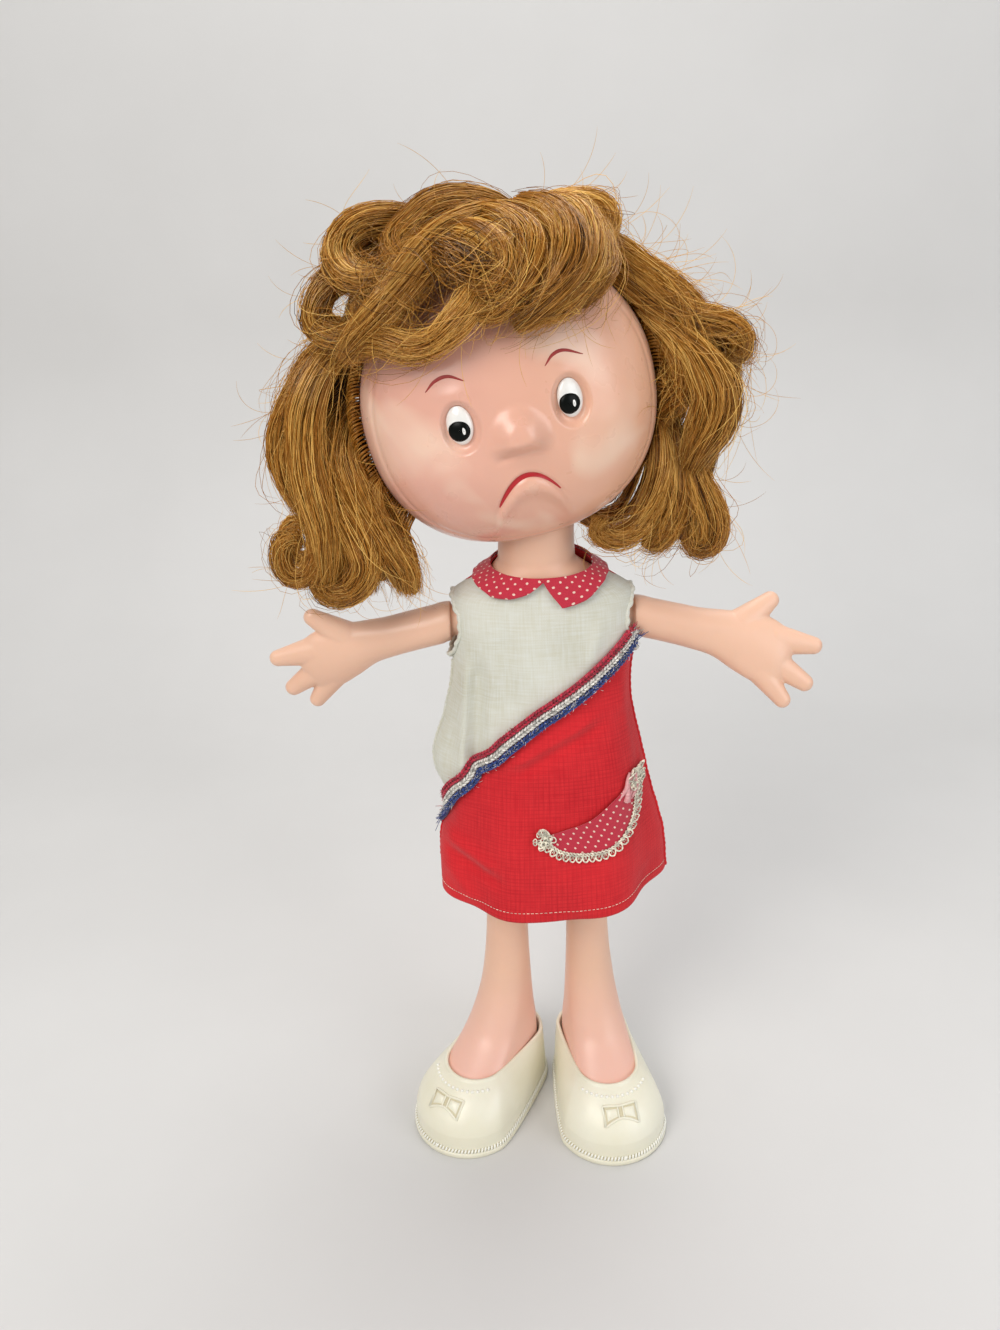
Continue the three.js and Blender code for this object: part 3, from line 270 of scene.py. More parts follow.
def tube(points, radius, sides=8, closed=False):
    """A tube along points, with round ends unless closed."""
    points = np.asarray(points, float)
    count = len(points)
    ahead = unit(np.gradient(points, axis=0))
    if closed:
        ahead = unit(np.roll(points, -1, axis=0) - np.roll(points, 1, axis=0))
    normal, side = steady_frames(ahead, [0.13, 0.21, 0.97])
    turn = circle(sides)[None, :, None]
    ring = normal[:, None] * np.cos(turn) + side[:, None] * np.sin(turn)
    rings = points[:, None] + ring * np.broadcast_to(radius, (count,))[:, None, None]
    if not closed:
        return ended(rings, points[[0, -1]])
    seam = grid_faces(count + 1, sides, closed=True) % (count * sides)
    return rings.reshape(-1, 3), seam


def joined(parts):
    """Several (points, faces) as one."""
    points, faces, first = [], [], 0
    for p, f in parts:
        points.append(p)
        faces += [[i + first for i in face] for face in (f.tolist() if isinstance(f, np.ndarray) else f)]
        first += len(p)
    return np.vstack(points), faces


# Materials

GRID_PITCH = 1.8  # of the linen's self-grid, in millimetres of cloth


class Shader:
    """A node material with short ways to add nodes."""

    def __init__(self, name, roughness, specular=0.5):
        self.material = bpy.data.materials.new(name)
        self.material.use_nodes = True
        self.nodes = self.material.node_tree.nodes
        self.link = self.material.node_tree.links.new
        self.inputs = self.nodes["Principled BSDF"].inputs
        self.sets({"Roughness": roughness, "Specular IOR Level": specular})

    def sets(self, values):
        for name, value in values.items():
            self.inputs[name].default_value = value

    def add(self, kind, settings=(), **inputs):
        """A new node; i0, i1 and so on name its inputs by their place."""
        node = self.nodes.new(kind)
        for key, value in dict(settings).items():
            setattr(node, key, value)
        for key, value in inputs.items():
            socket = node.inputs[int(key[1:]) if key[1:].isdigit() else key]
            if isinstance(value, bpy.types.NodeSocket):
                self.link(value, socket)
            else:
                socket.default_value = (*value, 1) if isinstance(value, tuple) else value
        return node

    def math(self, operation, a, b=0.0):
        return self.add("ShaderNodeMath", {"operation": operation}, i0=a, i1=b).outputs[0]

    def plus(self, a, b):
        return self.math("ADD", a, b)

    def minus(self, a, b):
        return self.math("SUBTRACT", a, b)

    def times(self, a, b):
        return self.math("MULTIPLY", a, b)

    def clamped(self, value):
        return self.math("MINIMUM", self.math("MAXIMUM", value, 0.0), 1.0)

    def place(self, uv=False):
        return self.add("ShaderNodeTexCoord").outputs["UV" if uv else "Object"]

    def split(self, vector):
        return self.add("ShaderNodeSeparateXYZ", i0=vector).outputs

    def noise(self, where, scale, detail=3.0, roughness=0.5, distortion=0.0):
        node = self.add("ShaderNodeTexNoise", Vector=where, Scale=scale, Detail=detail)
        node.inputs["Roughness"].default_value = roughness
        node.inputs["Distortion"].default_value = distortion
        return node.outputs["Fac"]

    def ramp(self, value, stops):
        node = self.add("ShaderNodeValToRGB", Fac=value)
        elements = node.color_ramp.elements
        while len(elements) < len(stops):
            elements.new(0.5)
        for element, (at, colour) in zip(elements, stops):
            element.position = at
            element.color = (*colour, 1)
        return node.outputs["Color"]

    def mask(self, value, low, high, bottom=0.0, top=1.0):
        """Bottom where a value is below low, top where it is above high."""
        return self.ramp(value, [(low, (bottom,) * 3), (high, (top,) * 3)])

    def blend(self, share, a, b):
        return self.add("ShaderNodeMix", {"data_type": "RGBA"}, i0=share, i6=a, i7=b).outputs[2]

    def colour(self, value):
        self.link(value, self.inputs["Base Color"])

    def bump(self, height, strength, distance, after=None):
        node = self.add("ShaderNodeBump", Height=height, Strength=strength, Distance=distance)
        if after is not None:
            self.link(after, node.inputs["Normal"])
        self.link(node.outputs[0], self.inputs["Normal"])
        return node.outputs[0]


def shade(colour, amount):
    return tuple(min(1, c * amount) for c in colour)


def vinyl(name, colour, roughness, glow, coat=0.0, scatter=0.0, warm_and_highlight=None, flush=None):
    """Moulded vinyl: a slow drift of colour, fine orange peel and a little light let through.
    The face gets a lighter colour in soft spots, which are painted highlights, and a warm colour towards its
    left; flush is the colour of the feet."""
    s = Shader(name, roughness)
    where = s.place()
    base = s.blend(s.noise(where, 28, 4, 0.55), shade(colour, 0.93), glow)
    if warm_and_highlight:
        highlight_colour, warm = warm_and_highlight
        towards_left = s.clamped(s.plus(s.times(s.split(where)[0], 9.0), 0.3))
        base = s.blend(s.times(towards_left, 0.6), base, warm)
        # painted highlight: soft lighter spots on the face stand in for the broad reflections of the lights
        highlight_patches = s.mask(s.noise(where, 34, 2, 0.4, 0.6), 0.52, 0.72)
        base = s.blend(s.times(highlight_patches, 0.5), base, highlight_colour)
    if flush:
        low = s.clamped(s.times(s.minus(0.075, s.split(where)[2]), 22.0))
        base = s.blend(s.times(low, 0.7), base, flush)
    s.colour(base)
    s.sets({"Subsurface Weight": scatter, "Subsurface Radius": (0.006, 0.003, 0.0015)})
    s.sets({"Coat Weight": coat, "Coat Roughness": 0.2})
    worn = s.mask(s.noise(where, 90, 3), 0.3, 0.75, roughness * 0.85, roughness * 1.25)
    s.link(worn, s.inputs["Roughness"])
    fine = s.bump(s.noise(where, 900, 2), 0.05, 0.0004)
    s.bump(s.noise(where, 26, 2), 0.1, 0.0016, after=fine)
    return s.material


def linen(name, warp, weft, pitch, grid=0.0, sheen=0.3):
    """Plain weave from two crossed rows of threads, with slubs and an optional self-grid."""
    s = Shader(name, 0.85, 0.25)
    u, v = s.split(s.place(uv=True))[:2]

    def slub(x, y):
        return s.noise(s.add("ShaderNodeCombineXYZ", i0=x, i1=y).outputs[0], 1.3, 2)

    def wave(axis, uneven):
        return s.math("SINE", s.times(s.plus(axis, s.times(uneven, 0.25)), 2 * math.pi / pitch))

    def grid_line(axis):
        wave = s.math("COSINE", s.times(axis, 2 * math.pi / GRID_PITCH))
        return s.math("POWER", s.math("MAXIMUM", wave, 0.0), 6.0)

    slub_u, slub_v = slub(s.times(u, 0.06), v), slub(u, s.times(v, 0.06))
    height = s.plus(s.times(s.times(wave(u, slub_v), wave(v, slub_u)), 0.5), 0.5)
    threads = s.plus(s.times(slub_u, 0.5), s.times(slub_v, 0.5))
    base = s.blend(s.mask(threads, 0.38, 0.66), warp, weft)
    # painted shade: the colour darkens where the weave is low, between the threads
    base = s.blend(s.times(s.minus(1.0, height), 0.28), base, shade(warp, 0.35))
    if grid:
        lines = s.math("MAXIMUM", grid_line(u), grid_line(v))
        base = s.blend(s.times(lines, grid), base, shade(warp, 0.45))
    s.colour(s.blend(s.mask(s.noise(s.place(), 22, 3), 0.42, 0.68, top=0.4), base, shade(weft, 1.12)))
    s.sets({"Sheen Weight": sheen, "Sheen Roughness": 0.5})
    s.bump(height, 0.35, 0.00025)
    return s.material


def dotted(name, ground, dot, pitch, radius):
    """Cotton with small round dots in staggered rows."""
    s = Shader(name, 0.8, 0.25)
    uv = s.place(uv=True)
    wobble = s.noise(uv, 0.9, 2)
    u, v = s.split(uv)[:2]

    def squared(axis, step, shift):
        """The square of how far a spot is from the middle of its row of dots."""
        off = s.minus(s.math("FRACT", s.plus(s.math("DIVIDE", axis, step), shift)), 0.5)
        return s.math("POWER", s.math("ABSOLUTE", off), 2.0)

    marks = []
    for shift in (0.0, 0.5):
        away = s.math("SQRT", s.plus(squared(u, pitch, shift), squared(v, pitch * 1.1, shift)))
        away = s.plus(away, s.times(s.minus(wobble, 0.5), 0.05))
        marks.append(s.math("LESS_THAN", away, radius / pitch))
    threads = s.noise(s.place(), 2400, 2)
    cloth = s.blend(threads, shade(ground, 0.72), shade(ground, 1.2))
    s.colour(s.blend(s.math("MAXIMUM", *marks), cloth, dot))
    s.sets({"Sheen Weight": 0.25})
    s.bump(threads, 0.35, 0.0002)
    return s.material


def thread(name, colour):
    s = Shader(name, 0.75, 0.3)
    where = s.place()
    s.colour(s.blend(s.mask(s.noise(where, 620, 3), 0.36, 0.64), shade(colour, 0.5), shade(colour, 1.25)))
    s.sets({"Sheen Weight": 0.3})
    s.bump(s.noise(where, 1800, 2), 0.4, 0.0002)
    return s.material


def fibre(name, dark, middle, light, roughness, gloss=0.8):
    """Doll hair: each strand has its own tint, and shines along its length."""
    s = Shader(name, roughness, gloss)
    s.sets({"Specular Tint": (1.0, 0.82, 0.55, 1)})
    tint = s.add("ShaderNodeAttribute", {"attribute_name": "tint"}).outputs["Fac"]
    value = s.plus(tint, s.times(s.minus(s.noise(s.place(), 260, 2), 0.5), 0.25))
    s.colour(s.ramp(value, [(0.0, dark), (0.5, middle), (1.0, light)]))
    return s.material


def plain(name, colour, roughness, metallic=0.0, coat=0.0, gloss=0.5):
    s = Shader(name, roughness, gloss)
    where = s.place()
    s.colour(s.blend(s.noise(where, 400, 3), shade(colour, 0.86), shade(colour, 1.08)))
    s.sets({"Metallic": metallic, "Coat Weight": coat})
    s.bump(s.noise(where, 700, 2), 0.06, 0.0003)
    return s.material


# the face's first extra colour is a painted highlight laid in soft spots; the second is the vinyl's own warm
# tone
FACE = vinyl("face_vinyl", (0.74, 0.37, 0.285), 0.3, (0.80, 0.44, 0.33), 0.28, 0.12,
             warm_and_highlight=((0.90, 0.70, 0.54), (0.85, 0.52, 0.28)))
SKIN = vinyl("skin_vinyl", (0.78, 0.47, 0.33), 0.4, (0.84, 0.53, 0.375), 0.08, 0.14,
             flush=(0.86, 0.50, 0.42))
SHOE = vinyl("shoe_vinyl", (0.77, 0.71, 0.50), 0.38, (0.90, 0.88, 0.76), 0.15, 0.03)
# painted highlight: the raised stitches and dots are paler than the shoe, as where they catch the light
STITCH = vinyl("raised_stitch_highlight", (0.90, 0.88, 0.78), 0.45, (0.94, 0.93, 0.86))
# darker vinyl for the welt groove and the bow's recess
GROOVE = vinyl("darker_groove_vinyl", (0.58, 0.50, 0.31), 0.7, (0.72, 0.66, 0.48))
FADED = linen("faded_cotton", (0.70, 0.25, 0.27), (0.84, 0.52, 0.50), 0.6, sheen=0.2)
WHITE = linen("white_linen", (0.60, 0.58, 0.45), (0.70, 0.71, 0.65), 0.62, sheen=0.15)
RED = linen("red_linen", (0.58, 0.010, 0.018), (0.72, 0.024, 0.030), 0.52, 0.3, 0.1)
DOTS = dotted("dotted_cotton", (0.50, 0.025, 0.05), (0.76, 0.56, 0.46), 4.5, 0.47)
CORD = {
    "red": thread("crimson_cord", (0.48, 0.02, 0.05)),
    "white": thread("white_cord", (0.75, 0.72, 0.66)),
    "blue": thread("blue_cord", (0.025, 0.06, 0.24)),
}
LACE = thread("cream_lace", (0.80, 0.75, 0.60))
HAIR = fibre("hair_fibre", (0.06, 0.018, 0.002), (0.46, 0.178, 0.018), (0.98, 0.60, 0.15), 0.27)
# painted shade: the dark colour of the masses inside the locks
SHADE_CORE_FIBRE = fibre("under_hair", (0.05, 0.016, 0.003), (0.15, 0.055, 0.010), (0.26, 0.11, 0.02), 0.9, 0.05)
EYE_WHITE = plain("eye_white", (0.84, 0.83, 0.79), 0.18, coat=0.4)
PUPIL = plain("pupil", (0.002, 0.003, 0.002), 0.3, gloss=0.12)
PAINT = plain("face_paint", (0.44, 0.008, 0.014), 0.35)
BROW = plain("brow_paint", (0.33, 0.02, 0.016), 0.5)
NICKEL = plain("nickel", (0.62, 0.62, 0.6), 0.28, metallic=1.0)
PLUG = plain("plug_plastic", (0.72, 0.68, 0.6), 0.45)


# Head

HEAD_FRAME = turned("z", HEAD_YAW) @ turned("y", -HEAD_TILT)
EYE_MIDDLE = -1.5
EYE_X = 20.4  # from the middle of the pair
EYE_Z = 0.7
EYE_HALF = (4.7, 7.0)
SOCKET_HALF = (7.0, 9.4)
SOCKET_DEPTH = 2.6
PUPIL_Z = -0.9
PUPIL_RADIUS = 3.95
NOSE_X = -2.2
NOSE_Z = -8.0
NOSE_HALF_HEIGHT = 12.5
NOSE_RISE = 4.7
MOUTH_HALF = 12.2
MOUTH_X = -2.3
MOUTH_SWELL = 2.1
LINE_DEPTH = 0.9  # of the moulded lines under the nose and along the mouth
SEAM_SHARE = 0.905  # where the moulded line runs round the face, as a share of its outline
# Brows as points of (x, z): the sad ones as the photograph has them, the smiling ones from the eye outwards
SAD_BROWS = {
    "right": [(-31, 14.6), (-26.8, 17.6), (-21.9, 18.3), (-16.7, 15.6)],
    "left": [(12.1, 13.8), (15.8, 16.8), (20.2, 17.2), (26.6, 14.2)],
}
SMILING_BROW = [(9, 16.0), (4.05, 19.4), (-1.35, 20.2), (-6.3, 17.6)]


def head_place(p):
    """Points from the middle of the head to the doll's own frame."""
    raised = np.asarray(p, float) + [0, 0, HEAD_RISE]
    return raised @ HEAD_FRAME.T + [NECK_LEAN, 0, NECK_PIVOT_Z]


def rim(angle):
    """The head's outline: half its width and height in a direction round the face."""
    c, s = np.cos(angle), np.sin(angle)
    power = np.where(s < 0, 2 / HEAD_FULLNESS, 2 / CROWN_FULLNESS)
    return (half * np.sign(v) * np.abs(v) ** power for half, v in ((HEAD_HALF[0], c), (HEAD_HALF[2], s)))


def rim_share(x, z):
    """How far out a spot lies in the head's front view, 1 being the outline."""
    n = np.where(z < 0, HEAD_FULLNESS, CROWN_FULLNESS)
    return (np.abs(x / HEAD_HALF[0]) ** n + np.abs(z / HEAD_HALF[2]) ** n) ** (1 / n)


def mouth_z(x, mood):
    drop = (x / MOUTH_HALF) ** 2 * 10
    return -22.4 - drop if mood == "sad" else -32.4 + drop


def relief(x, z, mood):
    """How far the moulded features stand out from the smooth head."""

    def bump(dx, dz, wide, high):
        return np.exp(-((dx / wide) ** 2) - (dz / high) ** 2)

    off_nose = x - NOSE_X
    broad = 8.6 + 2.0 * smooth(-z, -2, 12)
    rounded = 2.3
    level = np.abs(off_nose / (1.3 * broad)) ** rounded + np.abs((z - NOSE_Z) / NOSE_HALF_HEIGHT) ** rounded
    hood = 1 - smooth(level ** (1 / rounded), 0.22, 1.0)
    out = NOSE_RISE * hood * (0.2 + 0.8 * smooth(z, -15.6, -9.4)) + 0.9 * bump(off_nose, z + 9.5, 6, 4)
    crease = z + 13.9 + 0.014 * off_nose**2
    out = out - LINE_DEPTH * np.exp(-((crease / 1.3) ** 2)) * np.exp(-(np.abs(off_nose / 8.6) ** 4))
    for side in (-1, 1):
        dx, dz = x - EYE_MIDDLE - side * EYE_X, z - EYE_Z
        socket = np.hypot(dx / SOCKET_HALF[0], (dz + 0.9) / SOCKET_HALF[1])
        out = out - SOCKET_DEPTH * smooth(-socket, -1.1, -0.74)
        out = out + 0.5 * bump(dx, dz - 10.8, 6.5, 2.8)
        out = out + bump(x - side * 33, z + 16, 14, 12)
    line = z - mouth_z(x - MOUTH_X, mood)
    fade = smooth(MOUTH_HALF + 3 - np.abs(x - MOUTH_X), 0, 4)
    out = out - LINE_DEPTH * fade * np.exp(-((line / 1.3) ** 2))
    lip = -5 if mood == "sad" else 5
    return out + MOUTH_SWELL * fade * np.exp(-(((line - lip) / 4.0) ** 2))


def head_surface(x, z, side, lift=0.0):
    """The point of the head's skin over x and z, on the front (side -1) or the back."""
    share = rim_share(x, z)
    dome = (1 - np.clip(share, 0, 1) ** HEAD_FULLNESS) ** (1 / HEAD_FULLNESS)
    raised = relief(-side * x, z, MOOD[side]) * np.minimum(1, dome * 1.6)
    raised = raised - 0.45 * np.exp(-(((share - SEAM_SHARE) / 0.012) ** 2))
    raised = raised + 0.25 * np.exp(-(((share - SEAM_SHARE - 0.028) / 0.014) ** 2))
    return np.stack([x, side * (HEAD_HALF[1] * dome + raised + lift), z], -1)


def make_head():
    around, steps = 300, 150
    w, h = rim(circle(around))
    share = np.sin(np.arange(1, steps + 1) / steps * np.pi / 2)
    front = head_surface(np.outer(share, w), np.outer(share, h), -1)
    back = head_surface(np.outer(share[-2::-1], w), np.outer(share[-2::-1], h), 1)
    tips = [head_surface(np.array(0.0), np.array(0.0), side) for side in MOOD]
    points, faces = capped(np.vstack([front, back]), tips)
    mesh("head", head_place(points), faces, FACE, "head", "head_shell")


def oval_patch(name, middle, half, side, lift, material, dome, count=12, sides=56):
    """An oval of paint or an eye's swell, which lies on the face."""
    turn, rings = circle(sides), []
    for share in np.arange(1, count + 1) / count:
        x, z = middle[0] + half[0] * share * np.cos(turn), middle[1] + half[1] * share * np.sin(turn)
        rings.append(head_surface(-side * x, z, side, lift + dome * math.sqrt(max(0.0, 1 - share**2))))
    points = np.vstack([np.concatenate(rings), rings[0].mean(0)])
    faces = grid_faces(count, sides, closed=True).tolist()
    faces += [[len(points) - 1, j, (j + 1) % sides] for j in range(sides)]
    mesh(name, head_place(points), faces, material, "head")


def stroke(name, line, width, side, lift, material):
    """A tapered line of paint on the face along points of (x, z)."""
    along = np.gradient(line, axis=0)
    across = unit(np.stack([-along[:, 1], along[:, 0]], 1))
    columns = []
    for offset in np.linspace(-1, 1, 5):
        x, z = (line + across * (width * offset)[:, None]).T
        columns.append(head_surface(-side * x, z, side, lift * (1 - 0.55 * offset**2)))
    grid = np.stack(columns, 1)
    mesh(name, head_place(grid.reshape(-1, 3)), grid_faces(*grid.shape[:2]), material, "head")


def make_face(side):
    mood = MOOD[side]
    span = np.linspace(0, 1, 40)
    for eye, sign in SIDE.items():
        x = EYE_MIDDLE + sign * EYE_X
        radii = (PUPIL_RADIUS, PUPIL_RADIUS)
        oval_patch(f"{mood}_eye_white_{eye}", (x, EYE_Z), EYE_HALF, side, 0.3, EYE_WHITE, 2.0)
        oval_patch(f"{mood}_pupil_{eye}", (x - 0.6, PUPIL_Z), radii, side, 1.45, PUPIL, 1.6)
        # painted highlight: a small white patch on each pupil stands in for the reflection of the lights
        glint = (x + 0.8, PUPIL_Z - 0.3)
        oval_patch(f"{mood}_glint_{eye}", glint, (0.6, 1.25), side, 2.95, EYE_WHITE, 0.12, 5, 20)
        arch = SAD_BROWS[eye] if mood == "sad" else [(x + sign * across, z) for across, z in SMILING_BROW]
        thick = 0.12 + 0.5 * np.sin(np.pi * span) ** 0.9
        stroke(f"{mood}_brow_{eye}", curve_through(arch, span), thick, side, 0.14, BROW)
    reach = mix(-1.02, 0.93, span) * MOUTH_HALF
    line = np.stack([reach + MOUTH_X, mouth_z(reach, mood)], 1)
    thick = 0.25 + 0.65 * np.sin(np.pi * span**0.8) ** 0.8
    stroke(f"{mood}_mouth", line, thick, side, 0.4, PAINT)


# Torso, neck and limbs

# Rows of share of the height, half-width and half-depth, and for the second table the lean
HIPS = [(0, 0.897, 0.94), (0.07, 0.949, 1), (0.256, 0.933, 0.983), (0.502, 0.795, 0.855),
        (0.776, 0.872, 0.778)]
CHEST = [(-0.055, 0.949, 0.7, 0), (0.273, 0.974, 0.795, 0), (0.473, 0.969, 0.769, 0),
         (0.655, 0.779, 0.744, 0.2), (0.855, 0.538, 0.726, 0.5)]
# Rows of distance from the shoulder, then the arm's middle, half-height and half-depth there
ARM_ROWS = [
    (0.35, 0, 8.7, 8.7), (7, 0.4, 8.8, 8.8), (18, 0.9, 8.9, 8.5), (28, 1.2, 9.2, 8), (38, 1.6, 10.4, 7.4),
    (48, 0.6, 13, 7.2), (58, -0.6, 14.6, 6.8), (66, -2, 13.2, 5.6), (70, -2.6, 9, 3.6),
]
# Two spheres as (along, up, radius), and how deep the piece is for its height
HAND = {
    "thumb": ((47, 8, 7.2), (56.5, 21, 4), 0.85),
    "index": ((62, 5, 7), (79.5, 6.6, 3.9), 0.85),
    "middle": ((63, -4, 6.4), (79.5, -10, 3.9), 0.85),
    "little": ((60, -10, 6), (72, -19.5, 3.7), 0.85),
    "palm": ((52, 1, 10.5), (62, -1, 9.5), 0.66),
}
# Rows of distance from the shoulder and radius
ARM_PEG = [(-7, 6), (-3.2, 8.4), (-3.1, 6.6), (2, 6.6)]
SKIN_VOXEL = 0.55
# Rows of height, then what the foot's toe, reach and heel have over the shoe's
FOOT = [(3.95, -1.15, -1, -1.75), (11, -0.55, -1, -0.95), (17, -1.95, -2.4, -0.75), (23, -5.6, -5.2, -1.35),
        (29.5, -8.6, -11.2, -1.75), (34, -9.4, -17, -1.95), (39, -10.0, -23, -2.15)]
# Rows of height, toe, reach, heel and share of the foot's shift
SHIN = [(48, 13.6, 6.6, 14, 0.8), (64, 12.1, 1.8, 12.3, 0.5), (84, 10.7, 0.6, 10.8, 0.2),
        (108, 9.9, 0.2, 9.9, 0), (149.6, 9.6, 0.1, 9.6, 0)]
SOCK_GAP = WELT_STEP + 2 + 0.35


def make_torso():
    foot = SHOULDER_Z + NECK_FOOT_RISE
    rows = [(mix(HIP_Z, SHOULDER_Z, t), w * SHOULDER_X, d * TORSO_HALF_DEPTH, 0) for t, w, d in HIPS]
    rows += [(SHOULDER_Z + NECK_FOOT_RISE * t, w * SHOULDER_X, d * TORSO_HALF_DEPTH, lean * NECK_LEAN)
             for t, w, d, lean in CHEST]
    rows += [(foot, NECK_RADIUS + 0.4, NECK_RADIUS, NECK_LEAN),
             (NECK_PIVOT_Z + 10, NECK_RADIUS - 0.3, NECK_RADIUS - 0.3, NECK_LEAN)]
    turn, rings = circle(96), []
    for z in np.linspace(rows[0][0], rows[-1][0], 150):
        w, d, lean = by_height(rows, z)
        power = 2 / mix(DRESS_FULLNESS, 2, smooth(z, 276, 286))
        x, y = (half * np.sign(v) * np.abs(v) ** power for half, v in ((w, np.cos(turn)), (d, np.sin(turn))))
        rings.append(np.stack([x + lean, y, np.full_like(x, z)], 1))
    mesh("torso_skin", *capped(np.array(rings)), SKIN, "torso", "torso")


def remeshed(obj, voxel, rounds=7):
    """Makes the overlapping parts of a mesh one skin."""
    remesh = obj.modifiers.new("remesh", "REMESH")
    remesh.mode = "VOXEL"
    remesh.voxel_size = voxel / 1000
    soften = obj.modifiers.new("smooth", "SMOOTH")
    soften.factor = 0.5
    soften.iterations = rounds
    material = obj.data.materials[0]
    obj.data = bpy.data.meshes.new_from_object(obj.evaluated_get(bpy.context.evaluated_depsgraph_get()))
    obj.modifiers.clear()
    obj.data.materials.clear()
    obj.data.materials.append(material)
    obj.data.shade_smooth()


def capsule(start, end, depth):
    """A round-ended taper between two spheres."""
    a, b = (np.array([p[0], 0, p[1]], float) for p in (start, end))
    ahead = unit(b - a)
    across = np.cross([0, 1, 0], ahead)
    stops = [(-math.cos(t), math.sin(t), 0) for t in np.linspace(0.15, math.pi / 2, 8)]
    stops += [(math.sin(t), math.cos(t), 1) for t in np.linspace(0, math.pi / 2 - 0.15, 8)]
    turn, rings = circle(28), []
    for past, shrink, part in stops:
        r = mix(start[2], end[2], part)
        ring = mix(a, b, part) + ahead * past * r + np.outer(np.cos(turn), across) * r * shrink
        ring[:, 1] += np.sin(turn) * r * shrink * depth
        rings.append(ring)
    return capped(np.array(rings))


def make_arm(name):
    side = SIDE[name]
    droop = turned("y", ARM_DROOP)
    turn, rings = circle(64), []
    for x in np.linspace(ARM_ROWS[0][0], ARM_ROWS[-1][0], 90):
        middle, high, deep = by_height(ARM_ROWS, x)
        ring = np.stack([np.full_like(turn, x), deep * np.cos(turn), middle + high * np.sin(turn)], 1)
        rings.append(ring @ mix(np.eye(3), droop, smooth(x, 0, 7)).T)
    parts = [capped(np.array(rings))]
    for start, end, depth in HAND.values():
        points, faces = capsule(start, end, depth)
        parts.append((points @ droop.T, faces))
    turn = circle(40)
    peg = [np.stack([np.full_like(turn, x), r * np.cos(turn), r * np.sin(turn)], 1) for x, r in ARM_PEG]
    points, faces = joined(parts + [capped(np.array(peg))])
    points = points @ turned("x", ARM_BACK[name]).T * [side, 1, 1] + [side * SHOULDER_X, 0, SHOULDER_Z]
    if side < 0:
        faces = [face[::-1] for face in faces]
    arm = mesh(f"arm_{name}_skin", points, faces, SKIN, f"arm_{name}", f"arm_{name}")
    remeshed(arm, SKIN_VOXEL)


def foot_outline(turn, toe, reach, heel, z):
    """The outline of a foot or shoe: round a toe circle and a heel circle, with smooth flanks."""
    ahead = smooth(np.cos(turn), -0.35, 0.35)
    radius = mix(heel, toe, ahead)
    return np.stack([radius * np.sin(turn), -(radius * np.cos(turn) + ahead * reach), z + 0 * turn], -1)


def leg_place(points, name):
    side = SIDE[name]
    return points @ turned("z", side * TOE_OUT[name]).T + [side * HIP_SPREAD, LEG_BACK, 0]


def make_leg(name):
    toe_inside, heel_inside = SHOE_TOE - SOCK_GAP, SHOE_HEEL - SOCK_GAP
    rows = [(z, toe_inside + a, SHOE_REACH + b, heel_inside + c, FOOT_SHIFT) for z, a, b, c in FOOT]
    rows += [(z, a, b, c, d * FOOT_SHIFT) for z, a, b, c, d in SHIN]
    rings = []
    for z in np.concatenate([np.linspace(FOOT[0][0], 60, 90), np.linspace(62, SHIN[-1][0], 40)]):
        *outline, shift = by_height(rows, z)
        rings.append(foot_outline(circle(120), *outline, z) + [SIDE[name] * shift, 0, 0])
    points, faces = capped(np.array(rings))
    mesh(f"leg_{name}_skin", leg_place(points, name), faces, SKIN, f"leg_{name}", f"leg_{name}")


# Shoes

# Rows of height, then what the toe, reach and heel have over the sole's
UPPER = [(SOLE_THICK, 0, 0, 0), (12, -0.2, -0.3, -0.1), (19, -2.1, -1.8, -0.4), (26, -6.1, -5.2, -0.8),
         (32, -11.7, -10, -1.2), (SHOE_HEIGHT, -13.9, -26, -1.8)]
SHOE_ROWS = [(z, SHOE_TOE - WELT_STEP + a, SHOE_REACH + b, SHOE_HEEL - WELT_STEP + c)
             for z, a, b, c in UPPER]
# The sole's edge as rows of how far it stands out and height
SOLE = [(-1.4, 0), (-0.5, 0.15), (0, 0.9), (0.1, 2.4), (-0.25, 3.2), (-1.6, 3.5)]
THROAT = (SHOE_TOE * 0.60, SHOE_REACH * 0.69, SHOE_HEEL * 0.815)  # toe, reach and heel of the opening
LIP_RADIUS = 0.95
STITCH_PITCH = 1.65
BOW_Y = -(SHOE_REACH + SHOE_TOE - 9.8)
BOW_WIDE = 8.2
BOW_TALL = 3.4


def shoe_surface(turn, z):
    """The outer side of the upper at an angle round the shoe and a height."""
    return foot_outline(turn, *by_height(SHOE_ROWS, z), z)


def sole_ring(grow, z, sides=240):
    return foot_outline(circle(sides), SHOE_TOE + grow, SHOE_REACH, SHOE_HEEL + grow, z)


def throat_line(sides):
    """Where the upper ends at the opening, all round."""
    toe, reach, heel = THROAT
    turn = circle(sides)

    def outside(z):
        x, y, _ = shoe_surface(turn, z).T
        along = np.clip(-y / reach, 0, 1)
        return np.hypot(x, y + along * reach) - mix(heel, toe, along) > 0

    height = narrowed(outside, np.full(sides, 14.0), np.full(sides, THROAT_TOP))
    for _ in range(6):
        height = (np.roll(height, 1) + 2 * height + np.roll(height, -1)) / 4
    return turn, height


def shoe_piece(name, part, solid, material, **more):
    points, faces = solid
    points = leg_place(points + [SIDE[name] * FOOT_SHIFT, 0, 0], name)
    mesh(f"shoe_{name}_{part}", points, faces, material, f"leg_{name}", **more)


def on_toe(x, y, lift):
    """A point of the upper over (x, y), lifted off it."""
    x, y = np.broadcast_arrays(np.asarray(x, float), np.asarray(y, float))

    def height(share):
        return mix(SOLE_THICK, SHOE_HEIGHT, share)

    def inside(share):
        toe, reach, _ = by_height(SHOE_ROWS, height(share))
        return np.hypot(x, y + reach) < toe

    return np.stack([x, y, height(narrowed(inside, np.zeros(x.shape), np.ones(x.shape))) + lift], -1)


def bow_half_height(across):
    return BOW_TALL * (0.6 + 0.4 * np.abs(across) ** 1.3)


